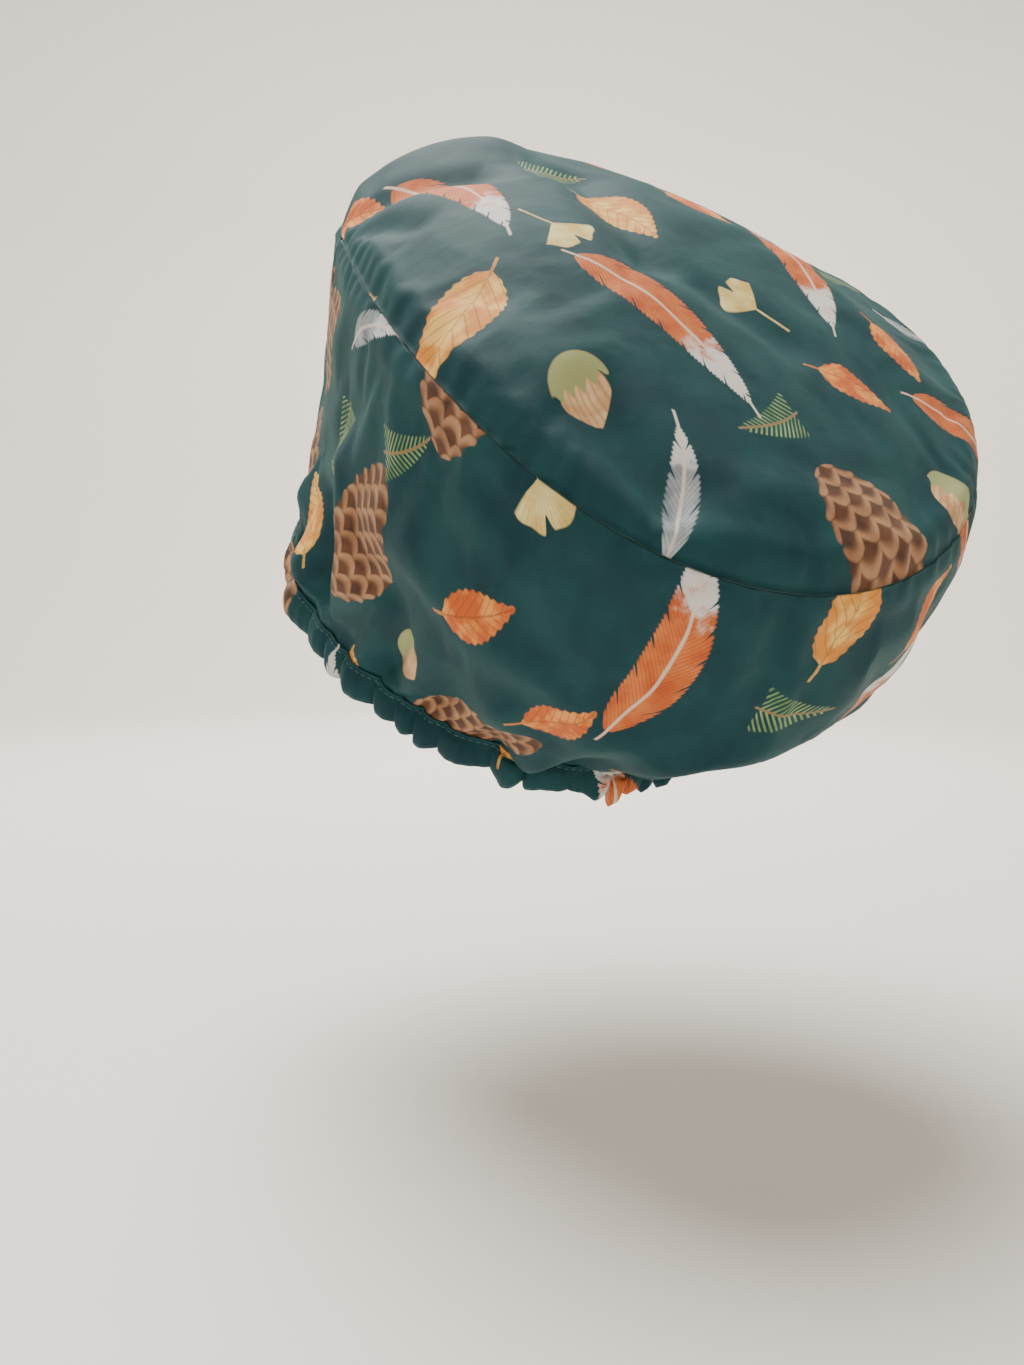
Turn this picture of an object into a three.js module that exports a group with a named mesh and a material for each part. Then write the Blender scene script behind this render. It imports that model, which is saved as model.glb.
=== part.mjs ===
// A gathered cloth scrub cap, in millimetres. +Z is up and the forehead faces -Y.
// The origin is where the top of the head meets the inside of the cap.
// The cap is an oval crown panel sewn to a side band of two panels, a plain front one and a
// gathered back one, that meet just in front of the ears. The band's lower edge is held in a
// turned hem, the casing, and an elastic in the casing gathers it from ear to ear at the back.
// Worn, the cloth bags up and back, so every level of the band is a tilted, egg-shaped oval.

import * as THREE from 'three';

// Cloth and seams
const wall = 1.2;
const layerGap = 0.4;
const seamGap = 0.5;
const allowance = 7;
const allowanceDroop = 25;
const sideSeamTurn = 116;
const sideSeamGap = 0.2;

// Crown dome over its oval, with the stiff roll of the seam round its edge
const domeHeight = 40;
const domeFullness = 2.5;
const domeFullnessChange = 1.1;
const domeLean = 0.12;
const fullSide = 149;
const seamRoll = 5;
const seamRollPower = 40;

// Hem casing and elastic
const stitchLevel = 0.09;
const casingHeight = 11;
const bandTuck = 3;
const elasticWidth = 5;
const elasticThickness = 1;
const elasticLift = 2.2;

// Gathers: a main wave whose spacing drifts, and a slow one, from ear to ear round the back.
// Their depth is in millimetres at the stitch line and just above it, and the spans say
// between which levels each part of it comes or goes.
const gatherCount = 26;
const gatherShare = 0.7;
const gatherDrift = { count: 5, amount: 0.7 };
const slowGather = { count: 11, shift: 1.3, share: 0.3 };
const gatherReach = 126;
const gatherFade = 18;
const gatherAtStitch = 1.1;
const gatherAbove = 2.6;
const gatherRise = { from: stitchLevel, to: 0.16 };
const gatherFall = { from: 0.14, to: 0.46 };
const stitchFall = { from: 0.3, to: 0.5 };

// Columns round each piece, and its rings: reaches of the crown and levels of the band
const backColumns = 60;
const frontColumns = 20;
const crownColumns = 54;
const crownReaches = [0.24, 0.46, 0.66, 0.83, 0.93, 0.98];
const bandLevels = [0.94, 0.82, 0.68, 0.53, 0.38, 0.26, 0.17];

// The band's ovals, from the bottom edge (level 0) to the crown seam (level 1).
// length and width are half sizes along and across the slope, sag lifts the sides over the
// ends, egg widens the back, skew pulls the oval to the wearer's right.
const sectionColumns = ['level', 'x', 'y', 'z', 'tilt', 'length', 'width', 'roll', 'sag', 'egg', 'skew'];
const sections = [
  [0.00, 1, -8, -140, 36.5, 104, 82, 0, -4, -0.07, 0],
  [0.08, -1, -6, -131, 36.5, 106, 84, 0, -4, -0.06, 0],
  [0.20, -8, 3, -122, 36.5, 118, 94, -1, -2, 0, 3],
  [0.40, -16, 20, -102, 36.5, 137, 110, -3, 2, 0.07, 9],
  [0.65, -17, 34, -71, 37, 151, 117, -6, 6, 0.13, 14],
  [0.85, -15, 46, -44, 37.3, 157, 118, -8, 9, 0.13, 15],
  [1.00, -13, 55, -24, 37.5, 157, 115, -9, 10.8, 0.13, 15.4],
].map((row) => Object.fromEntries(sectionColumns.map((name, k) => [name, row[k]])));

// Folds of the band: from one place to another, height out (+) or in (-), and half width.
// turn is in degrees from the centre back towards the wearer's left, level as above.
const bandFolds = [
  { turn: 113, level: 0.30, toTurn: 88, toLevel: 0.11, height: 4, half: 9 },
  { turn: 98, level: 0.42, toTurn: 88, toLevel: 0.16, height: -4, half: 8 },
  { turn: 90, level: 0.60, toTurn: 80, toLevel: 0.22, height: 5, half: 9 },
  { turn: 72, level: 0.40, toTurn: 66, toLevel: 0.14, height: -4, half: 10 },
  { turn: 74, level: 0.62, toTurn: 46, toLevel: 0.55, height: 4, half: 14 },
  { turn: 44, level: 0.34, toTurn: 30, toLevel: 0.14, height: 3, half: 9 },
  { turn: 18, level: 0.36, toTurn: -4, toLevel: 0.68, height: 4, half: 14 },
  { turn: 10, level: 0.25, toTurn: -22, toLevel: 0.46, height: -4, half: 13 },
  { turn: 11, level: 0.97, toTurn: 11, toLevel: 0.78, height: -2.5, half: 5 },
  { turn: -28, level: 0.45, toTurn: -34, toLevel: 0.12, height: 4, half: 9 },
  { turn: -48, level: 0.70, toTurn: -62, toLevel: 0.14, height: -4, half: 10 },
  { turn: -78, level: 0.62, toTurn: -84, toLevel: 0.16, height: 4, half: 10 },
  { turn: -100, level: 0.52, toTurn: -106, toLevel: 0.22, height: -3.5, half: 11 },
  { turn: -150, level: 0.95, toTurn: -146, toLevel: 0.5, height: 3, half: 12 },
  { turn: 138, level: 0.92, toTurn: 132, toLevel: 0.35, height: 4, half: 12 },
  { turn: 164, level: 0.85, toTurn: 168, toLevel: 0.3, height: -3, half: 12 },
];

// Folds of the crown, from one place to another on its flat oval: back is towards the nape
// and left towards the wearer's left, in millimetres.
const crownFolds = [
  { back: -60, left: 84, toBack: -40, toLeft: 50, height: -5, half: 9 },
  { back: -74, left: 100, toBack: -16, toLeft: 80, height: -3.5, half: 6 },
  { back: -84, left: 62, toBack: -70, toLeft: 30, height: 5, half: 16 },
  { back: -36, left: 8, toBack: 30, toLeft: 14, height: -4, half: 10 },
  { back: 30, left: 14, toBack: 66, toLeft: -22, height: -3, half: 12 },
  { back: 24, left: 106, toBack: 44, toLeft: 102, height: -4, half: 8 },
  { back: 88, left: 64, toBack: 124, toLeft: 56, height: -5, half: 9 },
  { back: 60, left: 82, toBack: 76, toLeft: 74, height: 3, half: 14 },
  { back: 132, left: 22, toBack: 140, toLeft: -12, height: 3, half: 14 },
  { back: 20, left: -70, toBack: 78, toLeft: -84, height: 3, half: 16 },
  { back: -60, left: -40, toBack: -10, toLeft: -84, height: -4, half: 12 },
  { back: -120, left: -20, toBack: -96, toLeft: -62, height: 4, half: 14 },
];

// The band's flat chart, the steps that give a surface its slopes, and the share of a level or
// reach over which folds fade at an edge
const bandRadius = 118;
const bandHeight = 135;
const turnStep = 1;
const placeStep = 0.002;
const edgeFade = 0.06;

const radians = THREE.MathUtils.degToRad;
const smoothstep = THREE.MathUtils.smoothstep;

// One column of the section table at a level, on a smooth curve through the rows
function sectionValue(name, level) {
  let k = sections.findIndex((row) => row.level >= level);
  k = THREE.MathUtils.clamp(k, 1, sections.length - 1);
  const slope = (j) => {
    const before = sections[Math.max(j - 1, 0)];
    const after = sections[Math.min(j + 1, sections.length - 1)];
    return (after[name] - before[name]) / (after.level - before.level);
  };
  const low = sections[k - 1];
  const high = sections[k];
  const span = high.level - low.level;
  const s = (level - low.level) / span;
  const blend = s * s * (3 - 2 * s);
  const riseLow = s * (1 - s) * (1 - s) * span * slope(k - 1);
  const riseHigh = s * s * (1 - s) * span * slope(k);
  return low[name] + (high[name] - low[name]) * blend + riseLow - riseHigh;
}

function sectionAt(level) {
  const oval = {};
  for (const name of sectionColumns) {
    oval[name] = sectionValue(name, level);
  }
  return oval;
}

// A point of an oval's own frame: back down the slope, left, and up from the oval's plane
function placed(oval, back, left, up) {
  const tilt = radians(oval.tilt);
  const roll = radians(oval.roll);
  const across = left * Math.cos(roll) - up * Math.sin(roll);
  const lift = left * Math.sin(roll) + up * Math.cos(roll);
  return new THREE.Vector3(
    oval.x + across,
    oval.y + back * Math.cos(tilt) + lift * Math.sin(tilt),
    oval.z - back * Math.sin(tilt) + lift * Math.cos(tilt),
  );
}

function upFrom(oval) {
  return placed(oval, 0, 0, 1).sub(placed(oval, 0, 0, 0));
}

// Height of all the folds at a place of a flat chart in millimetres
function foldHeight(folds, x, y, endsOf) {
  let height = 0;
  for (const fold of folds) {
    const [x0, y0, x1, y1] = endsOf(fold);
    const along = ((x - x0) * (x1 - x0) + (y - y0) * (y1 - y0)) / ((x1 - x0) ** 2 + (y1 - y0) ** 2);
    const s = THREE.MathUtils.clamp(along, 0, 1);
    const away = Math.hypot(x - x0 - s * (x1 - x0), y - y0 - s * (y1 - y0)) / fold.half;
    height += fold.height * Math.exp(-away * away);
  }
  return height;
}

// Both ends of a fold on its chart
function bandEnds(fold) {
  const start = [radians(fold.turn) * bandRadius, fold.level * bandHeight];
  const end = [radians(fold.toTurn) * bandRadius, fold.toLevel * bandHeight];
  return [...start, ...end];
}

function crownEnds(fold) {
  return [fold.back, fold.left, fold.toBack, fold.toLeft];
}

// The gathers' wave round the hem: uneven, and gone at the front. turn is from -180 to 180.
function gatherWave(turn) {
  const fade = 1 - smoothstep(Math.abs(turn), gatherReach - gatherFade, gatherReach);
  const a = radians(turn);
  const main = Math.sin(gatherCount * a + gatherDrift.amount * Math.sin(gatherDrift.count * a));
  const slow = Math.sin(slowGather.count * a + slowGather.shift);
  return fade * (gatherShare * main + slowGather.share * slow);
}

// How far the gathers stand at a level: slight at the stitch line, full just above it
function gatherDepth(level) {
  const rise = smoothstep(level, gatherRise.from, gatherRise.to);
  const fall = 1 - smoothstep(level, gatherFall.from, gatherFall.to);
  const low = 1 - smoothstep(level, stitchFall.from, stitchFall.to);
  return gatherAtStitch * low + gatherAbove * rise * fall;
}

function plainBand(turn, level) {
  const oval = sectionAt(level);
  const a = radians(turn);
  const back = Math.cos(a) * oval.length;
  const spread = Math.sin(a) * oval.width * (1 + oval.egg * Math.cos(a));
  const left = spread - oval.skew * Math.sin(a) ** 2;
  return placed(oval, back, left, -oval.sag * Math.cos(2 * a));
}

function plainCrown(turn, reach) {
  const oval = sectionAt(1);
  const a = radians(turn);
  const back = reach * Math.cos(a) * oval.length;
  const spread = reach * Math.sin(a) * oval.width * (1 + oval.egg * reach * Math.cos(a));
  const left = spread - oval.skew * reach * Math.max(0, 1 - (reach * Math.cos(a)) ** 2);
  const facing = Math.cos(a - radians(fullSide));
  const fullness = domeFullness + domeFullnessChange * facing;
  const dome = domeHeight * (1 - reach ** fullness) * (1 + domeLean * reach * facing);
  const roll = seamRoll * (1 - reach ** seamRollPower);
  const folds = foldHeight(crownFolds, back, left, crownEnds) * smoothstep(1 - reach, 0, edgeFade);
  return placed(oval, back, left, dome + roll + folds - oval.sag * Math.cos(2 * a) * reach ** 2);
}

// Outward direction of a surface of (turn, place), from its two slopes. The step along place
// goes towards the surface's middle, so that it never leaves it.
function outward(surface, turn, place) {
  const step = place > 0.5 ? -placeStep : placeStep;
  const here = surface(turn, place);
  const round = surface(turn + turnStep, place).sub(surface(turn - turnStep, place));
  const up = surface(turn, place + step).sub(here).multiplyScalar(Math.sign(step));
  return up.cross(round).normalize();
}

// A place of the band: pushed out by its folds and gathers, then by an offset
function band(turn, level, offset = 0) {
  const normal = outward(plainBand, turn, level);
  const high = 1 - smoothstep(level, 1 - edgeFade, 1);
  const low = smoothstep(level, stitchLevel, stitchLevel + edgeFade);
  const x = radians(turn) * bandRadius;
  const y = level * bandHeight;
  const turnRound = 2 * Math.PI * bandRadius;
  const folds = foldHeight(bandFolds, x, y, bandEnds)
    + foldHeight(bandFolds, x + turnRound, y, bandEnds)
    + foldHeight(bandFolds, x - turnRound, y, bandEnds);
  const gathers = gatherWave(turn) * gatherDepth(level);
  return plainBand(turn, level).addScaledVector(normal, folds * high * low + gathers + offset);
}

function crown(turn, reach, offset = 0) {
  if (reach === 0) {
    return plainCrown(0, 0).addScaledVector(upFrom(sectionAt(1)), offset);
  }
  return plainCrown(turn, reach).addScaledVector(outward(plainCrown, turn, reach).negate(), offset);
}

// The crown seam at one turn: its point, the way the allowances run in, and their upper side.
// They droop most at the back, and at the front they keep clear of the steep band.
function seamFrame(turn) {
  const oval = sectionAt(1);
  const up = upFrom(oval);
  const point = band(turn, 1);
  const inward = placed(oval, 0, 0, 0).sub(point);
  inward.addScaledVector(up, -inward.dot(up)).normalize();
  const droop = radians(allowanceDroop) * (1 + Math.cos(radians(turn))) / 2;
  const along = inward.clone().multiplyScalar(Math.cos(droop)).addScaledVector(up, -Math.sin(droop));
  const above = up.clone().multiplyScalar(Math.cos(droop)).addScaledVector(inward, Math.sin(droop));
  return { point, along, above };
}

function seamPlace(turn, along, above) {
  const frame = seamFrame(turn);
  return frame.point.addScaledVector(frame.along, along).addScaledVector(frame.above, above);
}

// Turns of the columns from one turn to another, both ends included
function turnsBetween(from, to, steps) {
  return Array.from({ length: steps + 1 }, (_, k) => from + ((to - from) * k) / steps);
}

// The band's surface takes turns from -180 to 180
const wrapped = (turn) => (turn > 180 ? turn - 360 : turn);

// A closed mesh from rings of points, one ring for each place of the profile.
// With poles the profile runs from one pole to the other, and each ring closes on itself.
// Otherwise the profile closes on itself. With a fold, the ring number at which the profile
// turns back, the piece has two ends, which are closed by ladders across its wall.
function skin(rings, { poles = [], fold = 0 }) {
  const count = rings[0].length;
  const size = rings.length;
  const positions = rings.flat().concat(poles).flatMap((p) => [p.x, p.y, p.z]);
  const faces = [];
  const at = (ring, column) => ((ring + size) % size) * count + (column % count);
  const ringSteps = poles.length ? size - 1 : size;
  const columnSteps = fold ? count - 1 : count;
  for (let r = 0; r < ringSteps; r += 1) {
    for (let c = 0; c < columnSteps; c += 1) {
      faces.push(at(r, c), at(r, c + 1), at(r + 1, c + 1));
      faces.push(at(r, c), at(r + 1, c + 1), at(r + 1, c));
    }
  }
  if (poles.length) {
    const first = size * count;
    for (let c = 0; c < count; c += 1) {
      faces.push(first, at(0, c + 1), at(0, c));
      faces.push(first + 1, at(size - 1, c), at(size - 1, c + 1));
    }
  }
  if (fold) {
    const last = count - 1;
    for (let j = 0; j < size / 2 - 1; j += 1) {
      const down = fold - 1 - j;
      const up = fold + j;
      faces.push(at(down, 0), at(up, 0), at(up + 1, 0));
      faces.push(at(down, 0), at(up + 1, 0), at(down - 1, 0));
      faces.push(at(down, last), at(up + 1, last), at(up, last));
      faces.push(at(down, last), at(down - 1, last), at(up + 1, last));
    }
  }
  const geometry = new THREE.BufferGeometry();
  geometry.setAttribute('position', new THREE.Float32BufferAttribute(positions, 3));
  geometry.setIndex(faces);
  return facingOut(geometry);
}

// Turns every face round if the mesh's signed volume says that they point in
function facingOut(geometry) {
  const place = geometry.getAttribute('position');
  const index = geometry.getIndex();
  const corner = (k) => new THREE.Vector3().fromBufferAttribute(place, index.getX(k));
  let volume = 0;
  for (let k = 0; k < index.count; k += 3) {
    volume += corner(k).dot(corner(k + 1).cross(corner(k + 2)));
  }
  if (volume < 0) {
    for (let k = 0; k < index.count; k += 3) {
      const second = index.getX(k + 1);
      index.setX(k + 1, index.getX(k + 2));
      index.setX(k + 2, second);
    }
  }
  geometry.computeVertexNormals();
  return geometry;
}

// Crown panel: the dome's outer skin, its seam allowance turned in, and its inner skin
function crownPanel(turns) {
  const half = seamGap / 2;
  const outer = crownReaches.map((reach) => turns.map((turn) => crown(turn, reach)));
  const inner = crownReaches.map((reach) => turns.map((turn) => crown(turn, reach, -wall)));
  const seam = [
    turns.map((turn) => seamPlace(turn, 0, half)),
    turns.map((turn) => seamPlace(turn, allowance, half)),
    turns.map((turn) => seamPlace(turn, allowance, half + wall)),
    turns.map((turn) => seamPlace(turn, 2 * wall, half + wall)),
  ];
  return skin([...outer, ...seam, ...inner.reverse()], { poles: [crown(0, 0), crown(0, 0, -wall)] });
}

// A panel of the side band: outer skin from the crown seam down into the casing, and back up
// inside, with its own seam allowance along the top
function bandPanel(turns) {
  const tucked = stitchLevel * (1 - bandTuck / casingHeight);
  const half = seamGap / 2;
  const levels = [...bandLevels, stitchLevel, tucked];
  const outer = levels.map((level) => turns.map((turn) => band(turn, level)));
  const inner = levels.map((level) => turns.map((turn) => band(turn, level, -wall)));
  const seam = [
    turns.map((turn) => seamPlace(turn, 2 * wall, -half - wall)),
    turns.map((turn) => seamPlace(turn, allowance, -half - wall)),
    turns.map((turn) => seamPlace(turn, allowance, -half)),
    turns.map((turn) => seamPlace(turn, 0, -half)),
  ];
  return skin([...outer, ...inner.reverse(), ...seam], { fold: outer.length });
}

// Hem casing: the turned hem in section, as places out from the band's lower edge and up
// from the bottom. Its slot faces up, between the two walls, and takes the band's edge.
// ruffle says how much of the ruffle a place follows.
const casingSection = [
  { out: layerGap + wall, up: 0.93, ruffle: 0 },
  { out: 3.0, up: 0.6, ruffle: 1 },
  { out: 2.4, up: 0.14, ruffle: 1 },
  { out: 0, up: -0.05, ruffle: 0.5 },
  { out: -2 * wall - layerGap, up: 0.15, ruffle: 0 },
  { out: -2 * wall - layerGap, up: 0.97, ruffle: 0 },
  { out: -wall - layerGap, up: 0.97, ruffle: 0 },
  { out: -wall - layerGap, up: 0.62, ruffle: 0 },
  { out: -wall - layerGap, up: 0.4, ruffle: 0 },
  { out: -wall - layerGap, up: 0.18, ruffle: 0 },
  { out: 0.9, up: 0.12, ruffle: 0.8 },
  { out: 1.8, up: 0.55, ruffle: 1 },
  { out: layerGap, up: 0.86, ruffle: 0 },
];
const ruffleDepth = 1.6;
const ruffleShift = 90 / gatherCount;

function hemCasing(turns) {
  const rings = casingSection.map((place) => turns.map((turn) => {
    const ruffle = place.ruffle * ruffleDepth * Math.abs(gatherWave(turn + ruffleShift));
    return band(turn, place.up * stitchLevel, place.out + ruffle);
  }));
  return skin(rings, {});
}

// Elastic: a flat strip in the casing, from ear to ear round the back
function elastic(turns) {
  const low = (elasticLift / casingHeight) * stitchLevel;
  const high = ((elasticLift + elasticWidth) / casingHeight) * stitchLevel;
  const inner = -wall + layerGap;
  const outer = inner + elasticThickness;
  const corners = [[inner, high], [outer, high], [outer, low], [inner, low]];
  const rings = corners.map(([offset, level]) => turns.map((turn) => band(turn, level, offset)));
  return skin(rings, { fold: corners.length / 2 });
}

const cloth = { color: 0x2a4f4c, roughness: 0.85, metalness: 0 };
const elasticFinish = { color: 0xe9e6df, roughness: 0.8, metalness: 0 };

function named(name, geometry, finish) {
  const mesh = new THREE.Mesh(geometry, new THREE.MeshStandardMaterial(finish));
  mesh.name = name;
  return mesh;
}

const backTurns = turnsBetween(sideSeamGap - sideSeamTurn, sideSeamTurn - sideSeamGap, backColumns);
const frontTurns = turnsBetween(sideSeamTurn, 360 - sideSeamTurn, frontColumns).map(wrapped);
const crownTurns = turnsBetween(0, 360, crownColumns).slice(0, -1).map(wrapped);

// The front panel's columns run from the wearer's right to the left
const group = new THREE.Group();
group.add(named('crown_panel', crownPanel(crownTurns), cloth));
group.add(named('front_band', bandPanel(frontTurns.toReversed()), cloth));
group.add(named('back_band', bandPanel(backTurns), cloth));
group.add(named('hem_casing', hemCasing([...backTurns, ...frontTurns]), cloth));
group.add(named('elastic', elastic(backTurns), elasticFinish));

export default group;
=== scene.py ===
# %% [markdown]
# A cloth scrub cap, dressed on its CAD frame
#
# The real cap is sewn from printed cotton: an oval crown panel, and a deep side band of two panels,
# one round the back and one over the forehead. The band is sewn round the crown, and its lower edge
# is turned up into a casing that holds an elastic. Worn, the cloth bags up and back, and the elastic
# gathers it from ear to ear.
#
# The CAD frame already fixes where each piece is. Here each piece is made again as thin cloth, from
# the same ovals and folds, so that nothing has to be fitted afterwards.

# %% Imports, and the frame
import math

import bpy
import numpy as np
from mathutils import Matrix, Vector


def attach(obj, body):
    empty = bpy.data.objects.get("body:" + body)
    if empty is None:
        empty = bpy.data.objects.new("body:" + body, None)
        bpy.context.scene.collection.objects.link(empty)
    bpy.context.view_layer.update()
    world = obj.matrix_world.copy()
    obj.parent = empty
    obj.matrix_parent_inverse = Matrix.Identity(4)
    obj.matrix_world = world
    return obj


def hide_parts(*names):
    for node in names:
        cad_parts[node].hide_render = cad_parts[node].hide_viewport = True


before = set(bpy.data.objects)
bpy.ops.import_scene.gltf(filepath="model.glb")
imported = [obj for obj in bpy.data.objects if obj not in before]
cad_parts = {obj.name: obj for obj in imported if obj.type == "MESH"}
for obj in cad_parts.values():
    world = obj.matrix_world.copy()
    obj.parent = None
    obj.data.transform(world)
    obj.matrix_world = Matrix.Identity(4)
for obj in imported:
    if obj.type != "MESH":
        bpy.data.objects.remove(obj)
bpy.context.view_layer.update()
print("CAD nodes:", sorted(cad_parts))

# %% [markdown]
# Sizes of the cloth
#
# One short list of sizes keeps the pieces in step: the crown and the band share their seam, and the
# casing shares the band's lower edge. Levels run up the band, from 0 at the bottom edge to 1 at the
# crown seam. Everything is worked out in millimetres, as a pattern cutter would, and becomes metres
# only when a mesh is made.

# %% Sizes
MM = 0.001
CLOTH = 0.55                 # thickness of the cloth
SEAM_GAP = 0.5               # between the two allowances of the crown seam
ALLOWANCE = 7.0
ALLOWANCE_DROOP = 25.0       # degrees that the allowances hang down at the back

DOME_HEIGHT = 40.0
DOME_FULLNESS = 2.5
DOME_FULLNESS_CHANGE = 1.1
DOME_LEAN = 0.12
FULL_SIDE = 149.0            # the turn at which the dome is fullest
SEAM_ROLL = 5.0
SEAM_ROLL_POWER = 40.0

STITCH_LEVEL = 0.09          # where the casing is stitched to the band
CASING_HEIGHT = 11.0
BAND_TUCK = 3.0

GATHERS = 26                 # over a full turn, so about 18 from ear to ear
RUFFLES = 42                 # lobes of the casing over a full turn
LOBE_OUT = 5.0
PLEAT_SHARE = 0.6            # of the ruffles that the band follows at the stitches
GATHER_REACH = 126.0         # degrees each way from the centre back
GATHER_FADE = 18.0
GATHER_AT_STITCH = 1.1
GATHER_ABOVE = 2.6

BAND_RADIUS = 118.0          # of the flat chart that the band's folds are laid out on
BAND_HEIGHT = 135.0

CROWN_CELLS = 120            # cells along each side of the crown's grid
CROWN_REACH = 130.0          # about, from the crown's middle to its seam
COLUMNS = 4 * CROWN_CELLS    # the band has one column for each edge point of the crown
SIDE_SEAM_COLUMN = 155       # columns from the centre back to each side seam
SIDE_ALLOWANCE = 7.0
COLUMN_WIDTH = 1.6           # about, from one column of the band to the next at the side seams
print("Columns round the band:", COLUMNS)

# %% [markdown]
# The ovals
#
# A worn bouffant is a stack of tilted ovals that grow from the hem to the crown seam. Seven ovals are
# enough: a smooth curve through each column of the table gives every level between them. The same
# table drives the CAD frame.

# %% The table of ovals
OVAL_FIELDS = ("level", "x", "y", "z", "tilt", "length", "width", "roll", "sag", "egg", "skew")
OVALS = np.array([
    (0.00, 1, -8, -140, 36.5, 104, 82, 0, -4, -0.07, 0),
    (0.08, -1, -6, -131, 36.5, 106, 84, 0, -4, -0.06, 0),
    (0.20, -8, 3, -122, 36.5, 118, 94, -1, -2, 0, 3),
    (0.40, -16, 20, -102, 36.5, 137, 110, -3, 2, 0.07, 9),
    (0.65, -17, 34, -71, 37, 151, 117, -6, 6, 0.13, 14),
    (0.85, -15, 46, -44, 37.3, 157, 118, -8, 9, 0.13, 15),
    (1.00, -13, 55, -24, 37.5, 157, 115, -9, 10.8, 0.13, 15.4),
])


def oval_at(level):
    """Every field of the table at a level, or at an array of levels, on a smooth curve."""
    rows = OVALS[:, 0]
    slopes = np.empty_like(OVALS)
    slopes[1:-1] = (OVALS[2:] - OVALS[:-2]) / (rows[2:] - rows[:-2])[:, None]
    slopes[0] = (OVALS[1] - OVALS[0]) / (rows[1] - rows[0])
    slopes[-1] = (OVALS[-1] - OVALS[-2]) / (rows[-1] - rows[-2])
    level = np.asarray(level, float)
    k = np.clip(np.searchsorted(rows, level), 1, len(rows) - 1)
    span = rows[k] - rows[k - 1]
    s = (level - rows[k - 1]) / span
    s, span = s[..., None], span[..., None]
    value = OVALS[k - 1] + (OVALS[k] - OVALS[k - 1]) * s * s * (3 - 2 * s)
    value = value + s * (1 - s) ** 2 * span * slopes[k - 1] - s * s * (1 - s) * span * slopes[k]
    return {name: value[..., j] for j, name in enumerate(OVAL_FIELDS)}


def placed(oval, back, left, up):
    """A point of a tilted oval's own frame: back down the slope, left, and up from its plane."""
    tilt, roll = np.radians(oval["tilt"]), np.radians(oval["roll"])
    across = left * np.cos(roll) - up * np.sin(roll)
    lift = left * np.sin(roll) + up * np.cos(roll)
    return np.stack([
        oval["x"] + across,
        oval["y"] + back * np.cos(tilt) + lift * np.sin(tilt),
        oval["z"] - back * np.sin(tilt) + lift * np.cos(tilt),
    ], -1)


def smoothstep(x, low, high):
    s = np.clip((x - low) / (high - low), 0, 1)
    return s * s * (3 - 2 * s)


seam_oval = oval_at(1.0)
seam_middle = placed(seam_oval, 0, 0, 0)
seam_up = placed(seam_oval, 0, 0, 1) - seam_middle
seam_spans = [round(2 * float(seam_oval[axis])) for axis in ("length", "width")]
print("Crown seam oval, length and width in mm:", *seam_spans)

# %% [markdown]
# Folds and gathers
#
# Cloth folds where it has length to spare. The large ones are placed one row each, where the
# photograph shows them, and on the hidden side where such a bag would fold. A fold is a soft ridge or
# dent along a line. The gathers are waves round the hem with uneven spacing, because elastic never
# pulls cloth in evenly. They are sharp at the stitches and die out upwards.

# %% Fold tables: from one place to another, height (mm, - is inwards), and half width (mm)
BAND_FOLDS = np.array([
    # turn, level, to turn, to level, height, half
    (113, 0.30, 88, 0.11, 4, 9),
    (98, 0.42, 88, 0.16, -4, 8),
    (90, 0.60, 80, 0.22, 5, 9),
    (72, 0.40, 66, 0.14, -4, 10),
    (74, 0.62, 46, 0.55, 4, 14),
    (44, 0.34, 30, 0.14, 3, 9),
    (18, 0.36, -4, 0.68, 4, 14),
    (10, 0.25, -22, 0.46, -4, 13),
    (11, 0.97, 11, 0.78, -2.5, 5),
    (-28, 0.45, -34, 0.12, 4, 9),
    (-48, 0.70, -62, 0.14, -4, 10),
    (-78, 0.62, -84, 0.16, 4, 10),
    (-100, 0.52, -106, 0.22, -3.5, 11),
    (-150, 0.95, -146, 0.5, 3, 12),
    (138, 0.92, 132, 0.35, 4, 12),
    (164, 0.85, 168, 0.3, -3, 12),
])
CROWN_FOLDS = np.array([
    # back, left, to back, to left, height, half
    (-60, 84, -40, 50, -5, 9),
    (-74, 100, -16, 80, -3.5, 6),
    (-84, 62, -70, 30, 5, 16),
    (-36, 8, 30, 14, -4, 10),
    (30, 14, 66, -22, -3, 12),
    (24, 106, 44, 102, -4, 8),
    (88, 64, 124, 56, -5, 9),
    (60, 82, 76, 74, 3, 14),
    (132, 22, 140, -12, 3, 14),
    (20, -70, 78, -84, 3, 16),
    (-60, -40, -10, -84, -4, 12),
    (-120, -20, -96, -62, 4, 14),
])


def fold_height(folds, x, y):
    """Height of all the folds at places (x, y) of a flat chart in millimetres."""
    height = np.zeros_like(x)
    for x0, y0, x1, y1, rise, half in folds:
        dx, dy = x1 - x0, y1 - y0
        s = np.clip(((x - x0) * dx + (y - y0) * dy) / (dx * dx + dy * dy), 0, 1)
        away = np.hypot(x - x0 - s * dx, y - y0 - s * dy) / half
        height += rise * np.exp(-away * away)
    return height


def band_chart(folds):
    """The band's fold rows, from turns and levels to millimetres of its flat chart."""
    chart = folds.copy()
    chart[:, [0, 2]] = np.radians(chart[:, [0, 2]]) * BAND_RADIUS
    chart[:, [1, 3]] *= BAND_HEIGHT
    return chart


GATHER_RISE = (STITCH_LEVEL, 0.16)   # levels over which the gathers grow above the stitches
GATHER_END = (0.14, 0.46)            # and those over which they die out
STITCH_GATHER_END = (0.3, 0.5)
LOBE_FULLNESS = 0.6          # the lower this power, the fuller the lobes and the narrower the tucks
TUCK_SHALLOWNESS = 0.14
LOBE_INWARD = 0.25           # share of the lobes' height that goes inwards


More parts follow.
